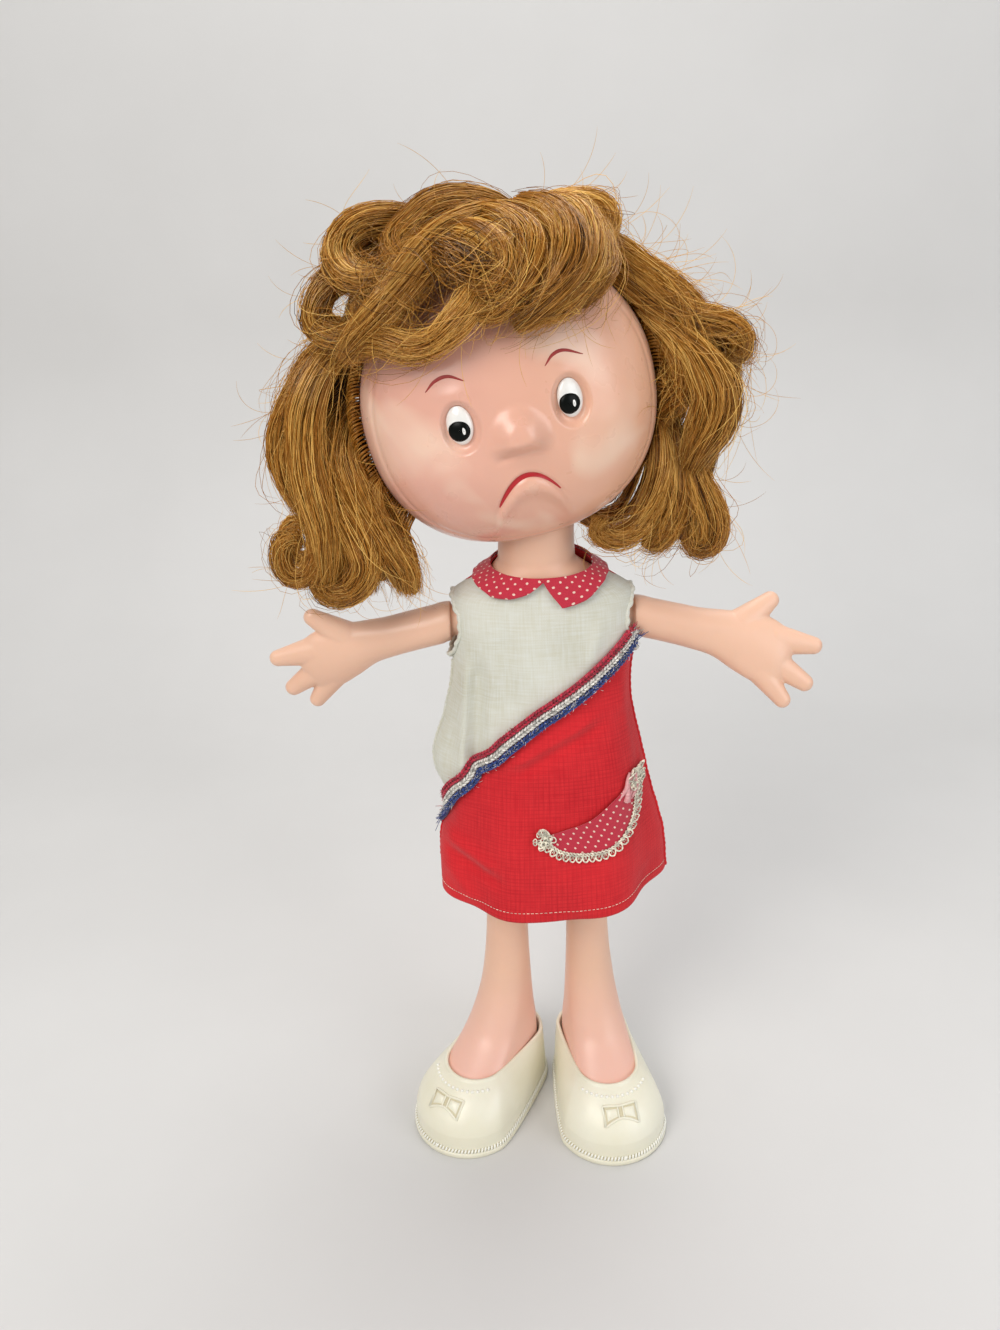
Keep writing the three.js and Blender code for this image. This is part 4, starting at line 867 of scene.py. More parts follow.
def make_upper(name, turn, height):
    outer = np.stack([shoe_surface(turn, mix(SOLE_THICK, height, share)) for share in np.linspace(0, 1, 80)])
    lip = outer[-1]
    middle = np.stack([0 * turn, -np.clip(-lip[:, 1], 0, THROAT[1]), lip[:, 2]], 1)
    inward = unit(middle - lip)
    rolls = [lip + inward * (LIP_RADIUS - LIP_RADIUS * math.cos(a)) + [0, 0, 0.8 * math.sin(a)]
             for a in np.linspace(0.4, math.pi, 9)]
    inner = [rolls[-1] + inward * 0.15 * k - [0, 0, 1.6 * k] for k in range(1, 8)]
    points, faces = capped(np.vstack([outer, np.array(rolls), np.array(inner)]))
    inner_end = len(points) - 1
    faces = [face for face in faces if len(face) > 3 or inner_end not in face]
    shoe_piece(name, "upper", (points, faces), SHOE, node=f"shoe_{name}")
    sole = capped(np.array([sole_ring(grow, z) for grow, z in SOLE]))
    shoe_piece(name, "sole", sole, SHOE, slotted=True)


def make_stitches(name):
    """The moulded stitches along the welt, and the groove that they lie in."""
    inner, outer = sole_ring(-0.95, 5.4, 720), sole_ring(-0.2, 3.5, 720)
    run = run_of(outer)
    parts = []
    for start in np.arange(0, run[-1], STITCH_PITCH):
        top, foot = read_along(start + 0.75, run, inner), read_along(start, run, outer)
        line = mix(top, foot, np.linspace(0, 1, 5)[:, None])
        parts.append(tube(line, [0.3, 0.5, 0.55, 0.5, 0.3], 6))
    shoe_piece(name, "stitches", joined(parts), STITCH)
    shoe_piece(name, "welt_groove", tube(sole_ring(-1.0, 4.1), 0.42, closed=True), GROOVE)


def make_bow(name):
    """The bow moulded on the toe: a frame, two puffed loops, two bars and a darker recess."""
    u = np.linspace(-1, 1, 33)
    half = bow_half_height(u)
    x, y = BOW_WIDE * np.concatenate([u, -u]), BOW_Y + np.concatenate([half, -half])
    parts = [tube(on_toe(x, y, 0.35), 0.62, closed=True)]
    across = np.linspace(0.2, 0.84, 15)
    arch = np.sin(np.pi * np.linspace(0, 1, 15)) ** 0.5
    for sign in (-1, 1):
        columns = []
        for v in np.linspace(-1, 1, 11):
            puff = 0.9 * np.sqrt(max(0.0, 1 - v**2)) * arch
            y = BOW_Y + v * bow_half_height(across) * 0.62
            columns.append(on_toe(sign * BOW_WIDE * across, y, puff + 0.15))
        grid = np.stack(columns, 1)
        parts.append((grid.reshape(-1, 3), grid_faces(*grid.shape[:2])))
        parts.append(tube(on_toe(sign * 1.25, BOW_Y + np.linspace(-2.0, 2.0, 9), 0.5), 0.42))
    shoe_piece(name, "bow", joined(parts), SHOE)
    across, v = np.meshgrid(u, np.linspace(-0.93, 0.93, 13), indexing="ij")
    recess = on_toe(BOW_WIDE * across, BOW_Y + v * bow_half_height(across), 0.12)
    shoe_piece(name, "bow_recess", (recess.reshape(-1, 3), grid_faces(*across.shape)), GROOVE)


def make_dots(name, throat_turn, throat_height):
    """The line of raised dots below the opening."""
    parts = []
    up, round_up = np.meshgrid(np.linspace(0.2, math.pi - 0.2, 5), circle(8), indexing="ij")
    ball = np.stack([np.sin(up) * np.cos(round_up), np.sin(up) * np.sin(round_up), np.cos(up)], -1)
    for a in np.linspace(-0.95, 0.95, 15):
        height = np.interp(a % (2 * math.pi), throat_turn, throat_height) - 2.3
        parts.append(capped(shoe_surface(np.array([a]), height)[0] + 0.85 * ball))
    shoe_piece(name, "dots", joined(parts), STITCH)


def make_shoe(name):
    turn, height = throat_line(220)
    make_upper(name, turn, height)
    make_stitches(name)
    make_bow(name)
    make_dots(name, turn, height)


# Dress

CHEST_Z = SHOULDER_Z - NECK_FOOT_RISE * 0.636
CLOTH_THICK = 0.7
CLOTH_GIRTH = 46  # millimetres of cloth for each radian round the body
# Rows of share of the height, share of the width and depth added at the hem, and how far it waves
FLARE = [(0, 1, 1, 1), (0.193, 0.922, 0.816, 0.7), (0.4035, 0.734, 0.596, 0.42), (0.614, 0.5625, 0.382, 0.2),
         (0.807, 0.219, 0.162, 0.06)]
# Rows of share of the height above the shoulder, half-width and half-depth
BODICE = [(-0.636, 1.056, 1.043), (-0.055, 1.051, 0.966), (0.273, 1.051, 0.889), (0.473, 1.01, 0.838),
          (0.655, 0.8205, 0.812), (0.855, 0.605, 0.803), (1.109, 0.477, 0.795)]
DRESS_ROWS = [
    (mix(HEM_Z, CHEST_Z, up), mix(SHOULDER_X * 1.056, HEM_HALF_WIDTH, wide),
     mix(TORSO_HALF_DEPTH * 1.043, HEM_HALF_DEPTH, deep), wave)
    for up, wide, deep, wave in FLARE
] + [
    (SHOULDER_Z + NECK_FOOT_RISE * up, SHOULDER_X * wide, TORSO_HALF_DEPTH * deep, 0)
    for up, wide, deep in BODICE
]
# Creases as (x, z) of both ends, width and height, which is below zero for a hollow
FRONT_CREASES = [
    (20, 222, -15, 203, 2.4, 1.7), (22, 217, -12, 198, 2.6, -1.4), (-46, 162, -26, 152, 3.6, 2.2),
    (-44, 154, -22, 145, 3.4, -1.8), (-46, 146, -34, 132, 4.2, 1.5), (-34, 244, -38, 196, 2.8, 2.9),
    (-28, 244, -31, 196, 3.4, -2.8), (24, 264, 19, 246, 3.2, 1.2), (-16, 266, -15, 226, 4.0, -1.2),
    (30, 160, 44, 140, 5.0, 1.2), (33, 222, 40, 190, 5.0, -2.0), (-24, 226, -23, 204, 3.0, 0.9),
    (8, 150, 12, 130, 5.5, 0.8),
]
BACK_CREASES = [(20, 200, 26, 140, 6, 1.0), (-14, 205, -24, 140, 6, -0.8)]
# How far the worn side seams bulge, by height
SIDE_WAVES = {
    "right": [(128, -5.6), (140, -4.6), (150, -4.0), (158, -4.2), (168, -6.6), (178, -5.6), (188, -0.6),
              (198, 2.0), (218, 0.2), (242, -1.4), (256, 0), (300, 0)],
    "left": [(128, 0.6), (150, 0.4), (168, -1.6), (186, -4.0), (204, -5.2), (222, -5.2), (238, -3.2), (252, 0),
             (300, 0)],
}
# The seam under the braid: degrees round the body, 0 being the doll's left, and share of the height
DIAGONAL = [(-176, 0.262), (-170, 0.305), (-163, 0.352), (-152, 0.403), (-135, 0.5), (-115, 0.611),
            (-90, 0.741), (-69.5, 0.823), (-47, 0.903), (-28.5, 0.962)]
DIAGONAL_ROWS = [(math.radians(degrees), mix(HEM_Z, SHOULDER_Z, up)) for degrees, up in DIAGONAL]
# Degrees from the doll's side and width of the flap
COLLAR_EDGE = {
    "right": [(-90, 1.2), (-80, 6.2), (-70, 9.4), (-56, 11.2), (-40, 10.8), (0, 9), (50, 8.4), (83, 7.6),
              (87, 1)],
    "left": [(-91, 0.8), (-81, 13.2), (-66, 12.2), (-50, 10.0), (-30, 8.2), (0, 7.8), (50, 7.8), (83, 7.2),
             (87, 1)],
}
# Shares of the hem's half-width and of the height from the hem to the shoulder
POCKET_TOP = [(-0.037, 0.314), (0.126, 0.338), (0.33, 0.366), (0.51, 0.42), (0.62, 0.455), (0.70, 0.49)]
POCKET_BOTTOM = [(-0.037, 0.306), (0.10, 0.262), (0.30, 0.245), (0.53, 0.262), (0.675, 0.335), (0.71, 0.468)]
GATHERS = [(32.4, 181, 36.8, 193, 1.3), (34.6, 180, 37.8, 192, 1.1), (30.4, 183, 35.6, 193, 0.9),
           (36.4, 181, 38.8, 191, 0.8)]
TOPSTITCH_RISE = 4.6  # above the hem
BRAID_STITCH = 1.6
BRAID_FIBRES = 300  # that stand off each cord
LACE_PITCH = 2.75


def folds(x, z, creases):
    """Creases of the worn cloth, outwards, in the doll's front view."""
    out = 0.35 * np.sin(x * 0.21 + z * 0.05) * np.sin(z * 0.09 - x * 0.07 + 1)
    for x0, z0, x1, z1, wide, high in creases:
        long = math.hypot(x1 - x0, z1 - z0)
        across, up = (x1 - x0) / long, (z1 - z0) / long
        t = ((x - x0) * across + (z - z0) * up) / long
        off = (z - z0) * across - (x - x0) * up
        fade = np.exp(-((np.clip(np.abs(t - 0.5) - 0.38, 0, None) / 0.16) ** 2))
        out = out + high * fade * np.exp(-((off / wide) ** 2))
    return out


def dress_point(turn, z):
    """The outer side of the dress at an angle round the body, 0 being the doll's left."""
    c, s = np.cos(turn), np.sin(turn)
    power = 2 / DRESS_FULLNESS
    wave = 1.9 * np.cos(7 * turn + 0.6) + 1.2 * np.cos(4 * turn - 1.1)
    w, d, waving = by_height(DRESS_ROWS, z)
    for name, side in SIDE.items():
        w = w + by_height(SIDE_WAVES[name], z)[0] * smooth(side * c, 0.72, 1)
    lift = HEM_LIFT * c**2 * np.clip(1 - (z - HEM_Z) / ((CHEST_Z - HEM_Z) * 0.614), 0, 1)
    x = (w + wave * waving) * np.sign(c) * np.abs(c) ** power
    y = (d + wave * waving) * np.sign(s) * np.abs(s) ** power
    crease = np.where(s < 0, folds(x, z, FRONT_CREASES), folds(x, z, BACK_CREASES))
    crease = crease * smooth(np.abs(s), 0.15, 0.5) * smooth(-z, -270, -250)
    return np.stack([x, y + np.sign(s) * crease, z + lift + 0 * turn], -1)


def dress_frame(turn, z):
    """Point and outward direction on the dress."""
    point = dress_point(turn, z)
    return point, unit(np.cross(dress_point(turn + 0.01, z) - point, dress_point(turn, z + 0.5) - point))


def above_diagonal(turn, z):
    """How far a spot lies above the seam under the braid."""
    past = np.clip(turn - DIAGONAL_ROWS[-1][0], 0, None)
    return z - by_height(DIAGONAL_ROWS, turn)[0] - past * 30


def shoulder_seam(z):
    """How far the front wraps over the shoulder, as an angle."""
    return 0.42 * smooth(z, 262, 268) * (1 - smooth(z, 274, 279))


def neckline(turn):
    return NECKLINE_Z + (np.sin(turn) + 1) * NECKLINE_RADIUS * NECKLINE_RISE


def off_arms(turn, z):
    """Below zero inside an armhole."""
    x, y, up = np.moveaxis(dress_point(turn, z), -1, 0)
    away = np.hypot(y / ARMHOLE[0], (up - SHOULDER_Z + 0.4) / ARMHOLE[1]) - 1
    return np.where(np.abs(x) > 20, away * 12, 12)


def trimmed(turns, heights, fields):
    """Grid cells where all fields are above zero, with their edges clipped to the zero lines.
    Returns spots of (turn, z) and faces."""
    t, z = np.meshgrid(turns, heights, indexing="ij")
    value = np.min([field(t, z) for field in fields], axis=0).ravel()
    spots = np.stack([t, z], -1).reshape(-1, 2).tolist()
    cells = grid_faces(len(turns), len(heights))
    count = (value > 0)[cells].sum(1)
    faces, cuts = cells[count == 4].tolist(), {}
    for cell in cells[(count > 0) & (count < 4)].tolist():
        ring = []
        for a, b in zip(cell, cell[1:] + cell[:1]):
            if value[a] > 0:
                ring.append(a)
            if (value[a] > 0) != (value[b] > 0):
                low, high = key = (min(a, b), max(a, b))
                if key not in cuts:
                    p, q = np.array(spots[low]), np.array(spots[high])
                    cuts[key] = len(spots)
                    spots.append((p + (q - p) * (value[low] / (value[low] - value[high]))).tolist())
                ring.append(cuts[key])
        if len(ring) > 2:
            faces.append(ring)
    used = sorted({i for face in faces for i in face})
    place = {old: new for new, old in enumerate(used)}
    return np.array([spots[i] for i in used]), [[place[i] for i in face] for face in faces]


def cloth_panel(name, node, turns, own_field, material, flat, area):
    def under_neck(t, z):
        return neckline(t) - z

    fields = [under_neck, off_arms] + own_field
    spots, faces = trimmed(turns, np.arange(HEM_Z, 290, 0.9), fields)
    point, out = dress_frame(*spots.T)
    n = len(point)
    edges = dict.fromkeys((a, b) for face in faces for a, b in zip(face, face[1:] + face[:1]))
    closed = faces + [[i + n for i in face[::-1]] for face in faces]
    closed += [[b, a, a + n, b + n] for a, b in edges if (b, a) not in edges]
    points = np.vstack([point, point - out * CLOTH_THICK])
    uv = np.vstack([spots * [CLOTH_GIRTH, 1]] * 2)
    panel = mesh(name, points, closed, material, "torso", node, uv)


def make_dress():
    wrap = 1e-4  # how far the panels reach past the side seams

    def in_front(t, z):
        return (shoulder_seam(z) + wrap - np.maximum(t, -np.pi - t)) * 40

    def behind_right(t, z):
        return (np.pi + wrap - shoulder_seam(z) - t) * 40

    def behind_left(t, z):
        return (t + wrap - shoulder_seam(z)) * 40

    def below_diagonal(t, z):
        return -above_diagonal(t, z)

    front = np.radians(np.arange(-207, 27.01, 0.75))
    left = np.radians(np.append(np.arange(0, 89.5, 0.75), 89.8))
    right = np.pi - left[::-1]
    panels = [
        ("white_front", "front_white", front, [in_front, above_diagonal], WHITE, (0.105, 0.115), 0.0062),
        ("red_front", "front_red", front, [in_front, below_diagonal], RED, (0.15, 0.135), 0.0115),
        ("red_back_right", "back_right", right, [behind_right], RED, (0.075, 0.155), 0.0098),
        ("red_back_left", "back_left", left, [behind_left], RED, (0.075, 0.155), 0.0098),
    ]
    for name, node, *more in panels:
        cloth_panel(f"dress_{name}", f"dress_{node}", *more)


def braid_stitches(run, middle, across, out):
    """Two rows of slanted stitches that meet in the middle of a cord, like a chain."""
    k = np.linspace(0, 1, 6)
    high = (0.4 + 0.75 * np.sin(np.pi * k))[:, None]
    thick = 0.2 + 0.36 * np.sin(np.pi * np.clip(k, 0.06, 0.94))
    for half in (-1, 1):
        for start in np.arange(0.4, run[-1] - BRAID_STITCH, BRAID_STITCH):
            spine, aside, above = (read_along(start + k * 1.9, run, rows) for rows in (middle, across, out))
            yield tube(spine + aside * (half * (0.25 + 1.0 * k))[:, None] + above * high, thick, 6)


def braid_fuzz(middle, ahead, across, out, spread):
    """Short fibres that stand off a cord."""
    for _ in range(BRAID_FIBRES):
        i = rng.integers(0, len(middle))
        astray = rng.uniform(0, 1.4) * BRAID_PITCH if spread else 0
        start = middle[i] + out[i] * 1.3 + across[i] * (rng.uniform(-1.3, 1.3) + astray)
        way = out[i] * rng.uniform(0.2, 0.9) + across[i] * rng.normal(0, 0.9) + ahead[i] * rng.normal(0, 0.8)
        way = unit(way)
        yield tube([start, start + way * 0.8, start + way * 1.4 + ahead[i] * rng.normal(0, 0.7)], 0.09, 3)


def braid_frays(middle, ahead, across, out):
    """Longer fibres at both ends of a cord."""
    for end, sign in ((0, -1), (-1, 1)):
        for _ in range(16):
            start = middle[end] + across[end] * rng.uniform(-1, 1) + out[end] * rng.uniform(-0.7, 0.9)
            way = ahead[end] * sign + across[end] * rng.normal(0, 0.4) + out[end] * rng.normal(0.1, 0.3)
            way, reach, bend = unit(way), rng.uniform(2, 6), rng.normal(0, 0.9, 3)
            line = [start, start + way * reach * 0.5 + bend * 0.4, start + way * reach + bend]
            yield tube(curve_through(line, np.linspace(0, 1, 7)), 0.12, 4)


def make_braid():
    turn = np.linspace(DIAGONAL_ROWS[0][0], DIAGONAL_ROWS[-1][0], 260)
    point, out = dress_frame(turn, by_height(DIAGONAL_ROWS, turn)[0])
    ahead = unit(np.gradient(point, axis=0))
    across = unit(np.cross(ahead, out))
    for row, (name, material) in enumerate(CORD.items()):
        middle = point + out * (BRAID_RADIUS + 0.1) + across * ((row - 1) * BRAID_PITCH)
        parts = [tube(middle - out * 0.35, 1.05)]
        parts += braid_stitches(run_of(point), middle, across, out)
        parts += braid_fuzz(middle, ahead, across, out, name == "white")
        parts += braid_frays(middle, ahead, across, out)
        mesh(f"braid_{name}_cord", *joined(parts), material, "torso", f"braid_{name}")


def plate(name, grid, out, thick, uv, material, node, **sheet):
    """A grid of points as a closed sheet of cloth, wound so that it faces outwards."""
    rows, columns = grid.shape[:2]
    n = rows * columns
    points = np.vstack([grid.reshape(-1, 3), (grid - out * thick).reshape(-1, 3)])
    faces, index = grid_faces(rows, columns), np.arange(n).reshape(rows, columns)
    edge = np.concatenate([index[0], index[1:, -1], index[-1, -2::-1], index[-2:0:-1, 0]])
    after = np.roll(edge, -1)
    faces = np.vstack([faces, faces[:, ::-1] + n, np.stack([edge, edge + n, after + n, after], 1)])
    a, b, c, d = (points[faces[:, k]] for k in range(4))
    if np.einsum("ij,ij->", a, np.cross(b, c) + np.cross(c, d)) <= 0:
        faces = faces[:, ::-1]
    cloth = mesh(name, points, faces, material, "torso", node, uv=np.vstack([uv.reshape(-1, 2)] * 2))


def down_the_dress(turn, away):
    """Point and outward direction at a distance below the neckline, along the cloth."""
    z = neckline(turn)[:, None] + 1.2 - np.linspace(0, 26, 80) ** 1.15 * 0.6
    path = dress_point(turn[:, None] + 0 * z, z)
    found = [np.interp(far, run_of(line), heights) for far, line, heights in zip(away, path, z)]
    return dress_frame(turn, np.array(found))


def make_collar(name, side):
    edge = np.array(COLLAR_EDGE[name], float)
    degrees = np.sort(np.concatenate([np.linspace(edge[0, 0], edge[-1, 0], 150), edge[:, 0]]))
    wide = np.interp(degrees, edge[:, 0], edge[:, 1])
    turn = np.radians(degrees if side > 0 else 180 - degrees)
    turn = np.where(turn > np.pi, turn - 2 * np.pi, turn)
    curled = np.exp(-(((degrees + 68) / 13) ** 2)) * (1 if side < 0 else 0.25)
    rows, uv = [], []
    for v in np.linspace(0, 1, 30):
        along = v * (wide + 1.9 * curled)
        over = np.clip(along - wide, 0, None) / 1.1
        down = np.minimum(along, wide) + 1.1 * np.sin(np.minimum(over, 3))
        rise = 0.8 + 1.5 * np.clip(v * 1.3, 0, 1) ** 0.8 + 0.9 * curled * v - 1.1 * (1 - np.cos(over))
        rise = rise + 0.22 * np.sin(degrees * 0.31 + 1) * v
        point, out = down_the_dress(turn, np.clip(down, 0.01, None))
        rows.append(point + out * rise[:, None])
        uv.append(np.stack([degrees * 0.42 + along * 0.35, along - degrees * 0.1], -1))
    grid, uv = np.stack(rows, 1), np.stack(uv, 1)
    out = unit(np.cross(np.gradient(grid, axis=1), np.gradient(grid, axis=0)))
    plate(f"collar_{name}", grid, out, 0.5 * side, uv, DOTS, f"collar_{name}_side",
          flat=(0.068, 0.018), held="folded", rests_on=["torso_skin"], area=0.0007)


def on_skirt(rows, steps):
    """Points of (x, z) along a curve given in shares of the skirt."""
    return curve_through([(x * HEM_HALF_WIDTH, mix(HEM_Z, SHOULDER_Z, up)) for x, up in rows], steps)


def across_front(x, z, away):
    """Point and outward direction on the front of the dress at x and z."""
    x, z = np.broadcast_arrays(np.asarray(x, float), np.asarray(z, float))
    left = np.full(x.shape, -np.pi)
    turn = narrowed(lambda middle: dress_point(middle, z)[..., 0] < x, left, np.zeros(x.shape), 30)
    point, out = dress_frame(turn, z)
    return point + out * np.asarray(away)[..., None], out


def make_pocket():
    s, t = np.linspace(0.02, 0.985, 90), np.linspace(0, 1, 30)
    top, bottom = on_skirt(POCKET_TOP, s), on_skirt(POCKET_BOTTOM, s)
    flat = top[:, None] + (bottom - top)[:, None] * t[None, :, None]
    sag = 1.6 * np.sin(np.pi * s)[:, None] * (1 - t)[None, :] ** 2
    grid, out = across_front(flat[..., 0], flat[..., 1], 0.75 + sag)
    uv = np.stack([flat[..., 0] + flat[..., 1] * 0.4, flat[..., 1]], -1)
    plate("pocket_patch", grid, out, 0.6, uv, DOTS, "pocket",
          flat=(0.052, 0.022), held="laid", rests_on=["dress_red_front"], area=0.0007)
    parts = []
    k = np.linspace(0, 1, 16)
    for x0, z0, x1, z1, thick in GATHERS:
        x, away = mix(x0, x1, k) + 0.5 * np.sin(k * 7 + x0), 1.5 + 0.5 * np.sin(k * 5 + x0)
        line, _ = across_front(x, mix(z0, z1, k), away)
        parts.append(tube(line, thick * (0.75 + 0.25 * np.sin(np.pi * k + 0.4))))
    points, faces = joined(parts)
    mesh("pocket_gathered_end", points, faces, FADED, "torso", uv=points[:, [0, 2]])


def make_lace():
    """Crocheted loops along the pocket's lower edge, gathered into a tuft at each end."""
    edge = on_skirt(POCKET_BOTTOM, np.linspace(-0.01, 1.0, 400))
    length = run_of(edge)
    whole = length[-1]
    ahead = unit(np.gradient(edge, axis=0))
    across = np.stack([ahead[:, 1], -ahead[:, 0]], 1)

    def at(along, off, lift):
        p, n = (read_along(np.clip(along, 0, whole), length, rows) for rows in (edge, across))
        x, z = np.moveaxis(p + n * np.asarray(off)[..., None], -1, 0)
        return across_front(x, z, lift)[0]

    parts = []
    run = np.linspace(0, whole, 320)
    for off, phase in ((0.0, 0), (0.9, 1.5)):
        line = at(run, off + 0.22 * np.sin(run * 4 + phase), 1.3 + 0.25 * np.sin(run * 4 + phase + 1.5))
        parts.append(tube(line, 0.36, 6))
    arc, spoke = np.linspace(-0.3, np.pi + 0.3, 22), np.linspace(0, 1, 5)
    for k in range(int(whole / LACE_PITCH) + 1):
        centre = (k + 0.5) * LACE_PITCH
        loop = at(centre + 1.25 * np.cos(arc), 1.6 + 2.3 * np.sin(arc), 1.25 + 0.15 * np.sin(arc * 6))
        parts.append(tube(loop, 0.36, 6))
        for lean in (-0.3, 0.3):
            parts.append(tube(at(centre + lean * (0.4 + spoke), 1.1 + 1.6 * spoke, 1.2), 0.17, 5))
    turn = np.linspace(0, 2 * np.pi, 18)
    for end, sign in ((0.0, -1), (whole, 1)):
        for k in range(30):
            r = rng.uniform(0.7, 1.45)
            along, off = end + sign * rng.uniform(-3.2, 3.4), rng.uniform(-3.4, 3.6)
            inside = np.clip(along, 0, whole)
            i = int(np.interp(inside, length, np.arange(len(length))))
            x, z = edge[i] + ahead[i] * (along - inside) + across[i] * off
            away = rng.uniform(1.2, 2.4) + 0.8 * np.sin(turn + k) ** 2
            loop, _ = across_front(x + r * np.cos(turn), z + r * np.sin(turn), away)
            parts.append(tube(loop, 0.3, 6))
    mesh("pocket_lace_edge", *joined(parts), LACE, "torso", "pocket_lace")


def edge_roll(name, line, radius, material, closed=False):
    points, faces = tube(line, radius, closed=closed)
    mesh(name, points, faces, material, "torso", uv=points[:, 1:])


def make_hems():
    """Rolled, stitched edges round the armholes and down the sides, and the topstitch above the hem."""
    a = circle(199)
    y, z = ARMHOLE[0] * np.cos(a), SHOULDER_Z - 0.4 + ARMHOLE[1] * np.sin(a)
    w, d, _ = by_height(DRESS_ROWS, z)
    x = w * np.maximum(0, 1 - np.abs(y / d) ** DRESS_FULLNESS) ** (1 / DRESS_FULLNESS) - 0.3
    x = x + 0.3 * np.sin(a * 11) + 0.16 * np.sin(a * 23 + 1)
    for name, side in SIDE.items():
        radius = 1.05 + 0.06 * np.sin(a * 23)
        edge_roll(f"armhole_hem_{name}", np.stack([side * x, y, z], 1), radius, WHITE, closed=True)
    z = np.arange(HEM_Z + 0.5, 243, 0.8)
    for name, degrees in (("right", -173), ("left", -6)):
        turn = np.full_like(z, math.radians(degrees))
        line, out = dress_frame(turn + 0.012 * np.sin(z * 0.5), z)
        above = above_diagonal(turn, z) > 0
        for colour, material, some in (("white", WHITE, above), ("red", RED, ~above)):
            if some.sum() > 3:
                radius = 0.75 + 0.12 * np.sin(z[some] * 2.1)
                edge_roll(f"seam_{name}_{colour}", line[some] + out[some] * 0.1, radius, material)
    parts = []
    for start in np.radians(np.arange(-180, 180, 1.9)):
        point, out = dress_frame(np.linspace(start, start + math.radians(1.15), 4), HEM_Z + TOPSTITCH_RISE)
        parts.append(tube(point + out * 0.05, 0.13, 5))
    mesh("hem_stitches", *joined(parts), LACE, "torso")


def make_fasteners():
    """The strip behind the back opening, and the metal and plastic of the snap fasteners and neck plug."""
    low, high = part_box("back_underlap")
    xs, zs = np.linspace(low.x, high.x, 12) * 1000, np.linspace(low.z, high.z, 60) * 1000
    x, z = np.meshgrid(xs, zs, indexing="ij")
    turn = np.pi / 2 - x / TORSO_HALF_DEPTH
    point, out = dress_frame(turn, np.minimum(z, neckline(turn) - 0.3))
    grid = point - out * 1.0
    grid[..., 0] = x
    plate("back_underlap_strip", grid, out, 0.5, np.stack([x, z], -1), RED, "back_underlap",
          flat=(0.012, 0.14), held="hung", rests_on=["torso_skin"], area=0.0014)
    kept = {f"snap_{half}_{i}": NICKEL for i in (1, 2, 3) for half in ("stud", "ring")}
    for name, material in {**kept, "neck_plug": PLUG}.items():
        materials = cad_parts[name].data.materials
        materials.clear()
        materials.append(material)


# Hair: each lock is rows of (x, y, z, radius) from the middle of the head, from root to tip

CROWN_FILL = [
    [(14, 4, 64, 6), (1, -6, 63, 11), (-11, -10, 60, 12), (-24, -12, 56, 11), (-34, -12, 53, 9),
     (-44, -9, 47, 8), (-52, -4, 38, 4)],
    [(18, 4, 63, 6), (23, -6, 59, 11), (27, -12, 53, 11), (28, -22, 45, 9), (22, -30, 42, 7),
     (14, -36, 40, 4)],
    [(-20, -2, 65, 6), (-34, -6, 64, 9), (-43, -8, 60, 8), (-48, -6, 52, 6)],
]
TANGLES = [
    [(-16, -38, 58, 6), (-6, -45, 51, 8), (4, -45, 46, 6)],
    [(-30, -28, 62, 6), (-33, -35, 52, 8), (-27, -42, 44, 6)],
]
CROWN = [
    [(18, -4, 63, 4), (9, -10, 67, 8), (-3, -14, 71, 9), (-14, -18, 70, 10), (-22, -24, 66, 9),
     (-28, -30, 62, 8), (-26, -34, 58, 6), (-19, -36, 56, 3)],
    [(-14, -4, 68, 5), (-27, -8, 72, 8), (-39, -12, 72, 9), (-46, -16, 68, 9), (-48, -20, 62, 9),
     (-44, -26, 56, 8), (-36, -32, 54, 6), (-28, -34, 56, 3)],
    [(-31, -12, 60, 5), (-44, -16, 60, 7), (-55, -18, 57, 6), (-62, -20, 51, 5), (-63, -22, 44, 5),
     (-56, -26, 39, 5), (-47, -30, 39, 5), (-40, -33, 43, 3)],
    [(17, -14, 63, 4), (4, -24, 64, 8), (-9, -31, 62, 9), (-20, -36, 57, 8), (-29, -39, 51, 8),
     (-38, -40, 45, 7), (-48, -36, 38, 6), (-57, -28, 31, 4)],
    [(0, -22, 68, 4), (9, -30, 62, 8), (15, -38, 54, 9), (12, -44, 46, 9), (6, -48, 40, 7), (-2, -49, 36, 5),
     (-9, -49, 36, 3)],
    [(17, -16, 67, 5), (25, -26, 61, 9), (29, -36, 53, 10), (27, -44, 44, 10), (20, -48, 37, 8),
     (11, -50, 32, 5), (4, -49, 29, 3)],
    [(24, -12, 65, 5), (34, -20, 59, 9), (37, -30, 51, 9), (34, -40, 42, 8), (26, -46, 35, 6),
     (18, -49, 31, 4), (13, -49, 29, 2)],
    [(30, -6, 60, 5), (40, -14, 54, 8), (42, -24, 46, 8), (39, -34, 38, 6), (32, -42, 33, 4),
     (28, -45, 32, 2)],
    [(-5, -46, 46, 4), (-10, -49, 40, 6), (-17, -50, 35, 6), (-25, -48, 31, 5), (-33, -45, 31, 5),
     (-42, -39, 35, 5), (-54, -28, 35, 3)],
    [(-12, -28, 63, 5), (-2, -36, 60, 7), (4, -43, 54, 7), (4, -47, 47, 6), (-2, -49, 43, 4),
     (-9, -48, 44, 2)],
    [(17, -4, 62, 4), (27, -8, 63, 6), (38, -10, 63, 6), (46, -10, 61, 5), (50, -10, 56, 5),
     (48, -12, 51, 5), (41, -14, 52, 4), (37, -14, 56, 2)],
    [(-30, -22, 62, 4), (-36, -30, 54, 6), (-33, -38, 46, 6), (-38, -40, 40, 5), (-46, -36, 42, 4),
     (-46, -33, 49, 3)],
]
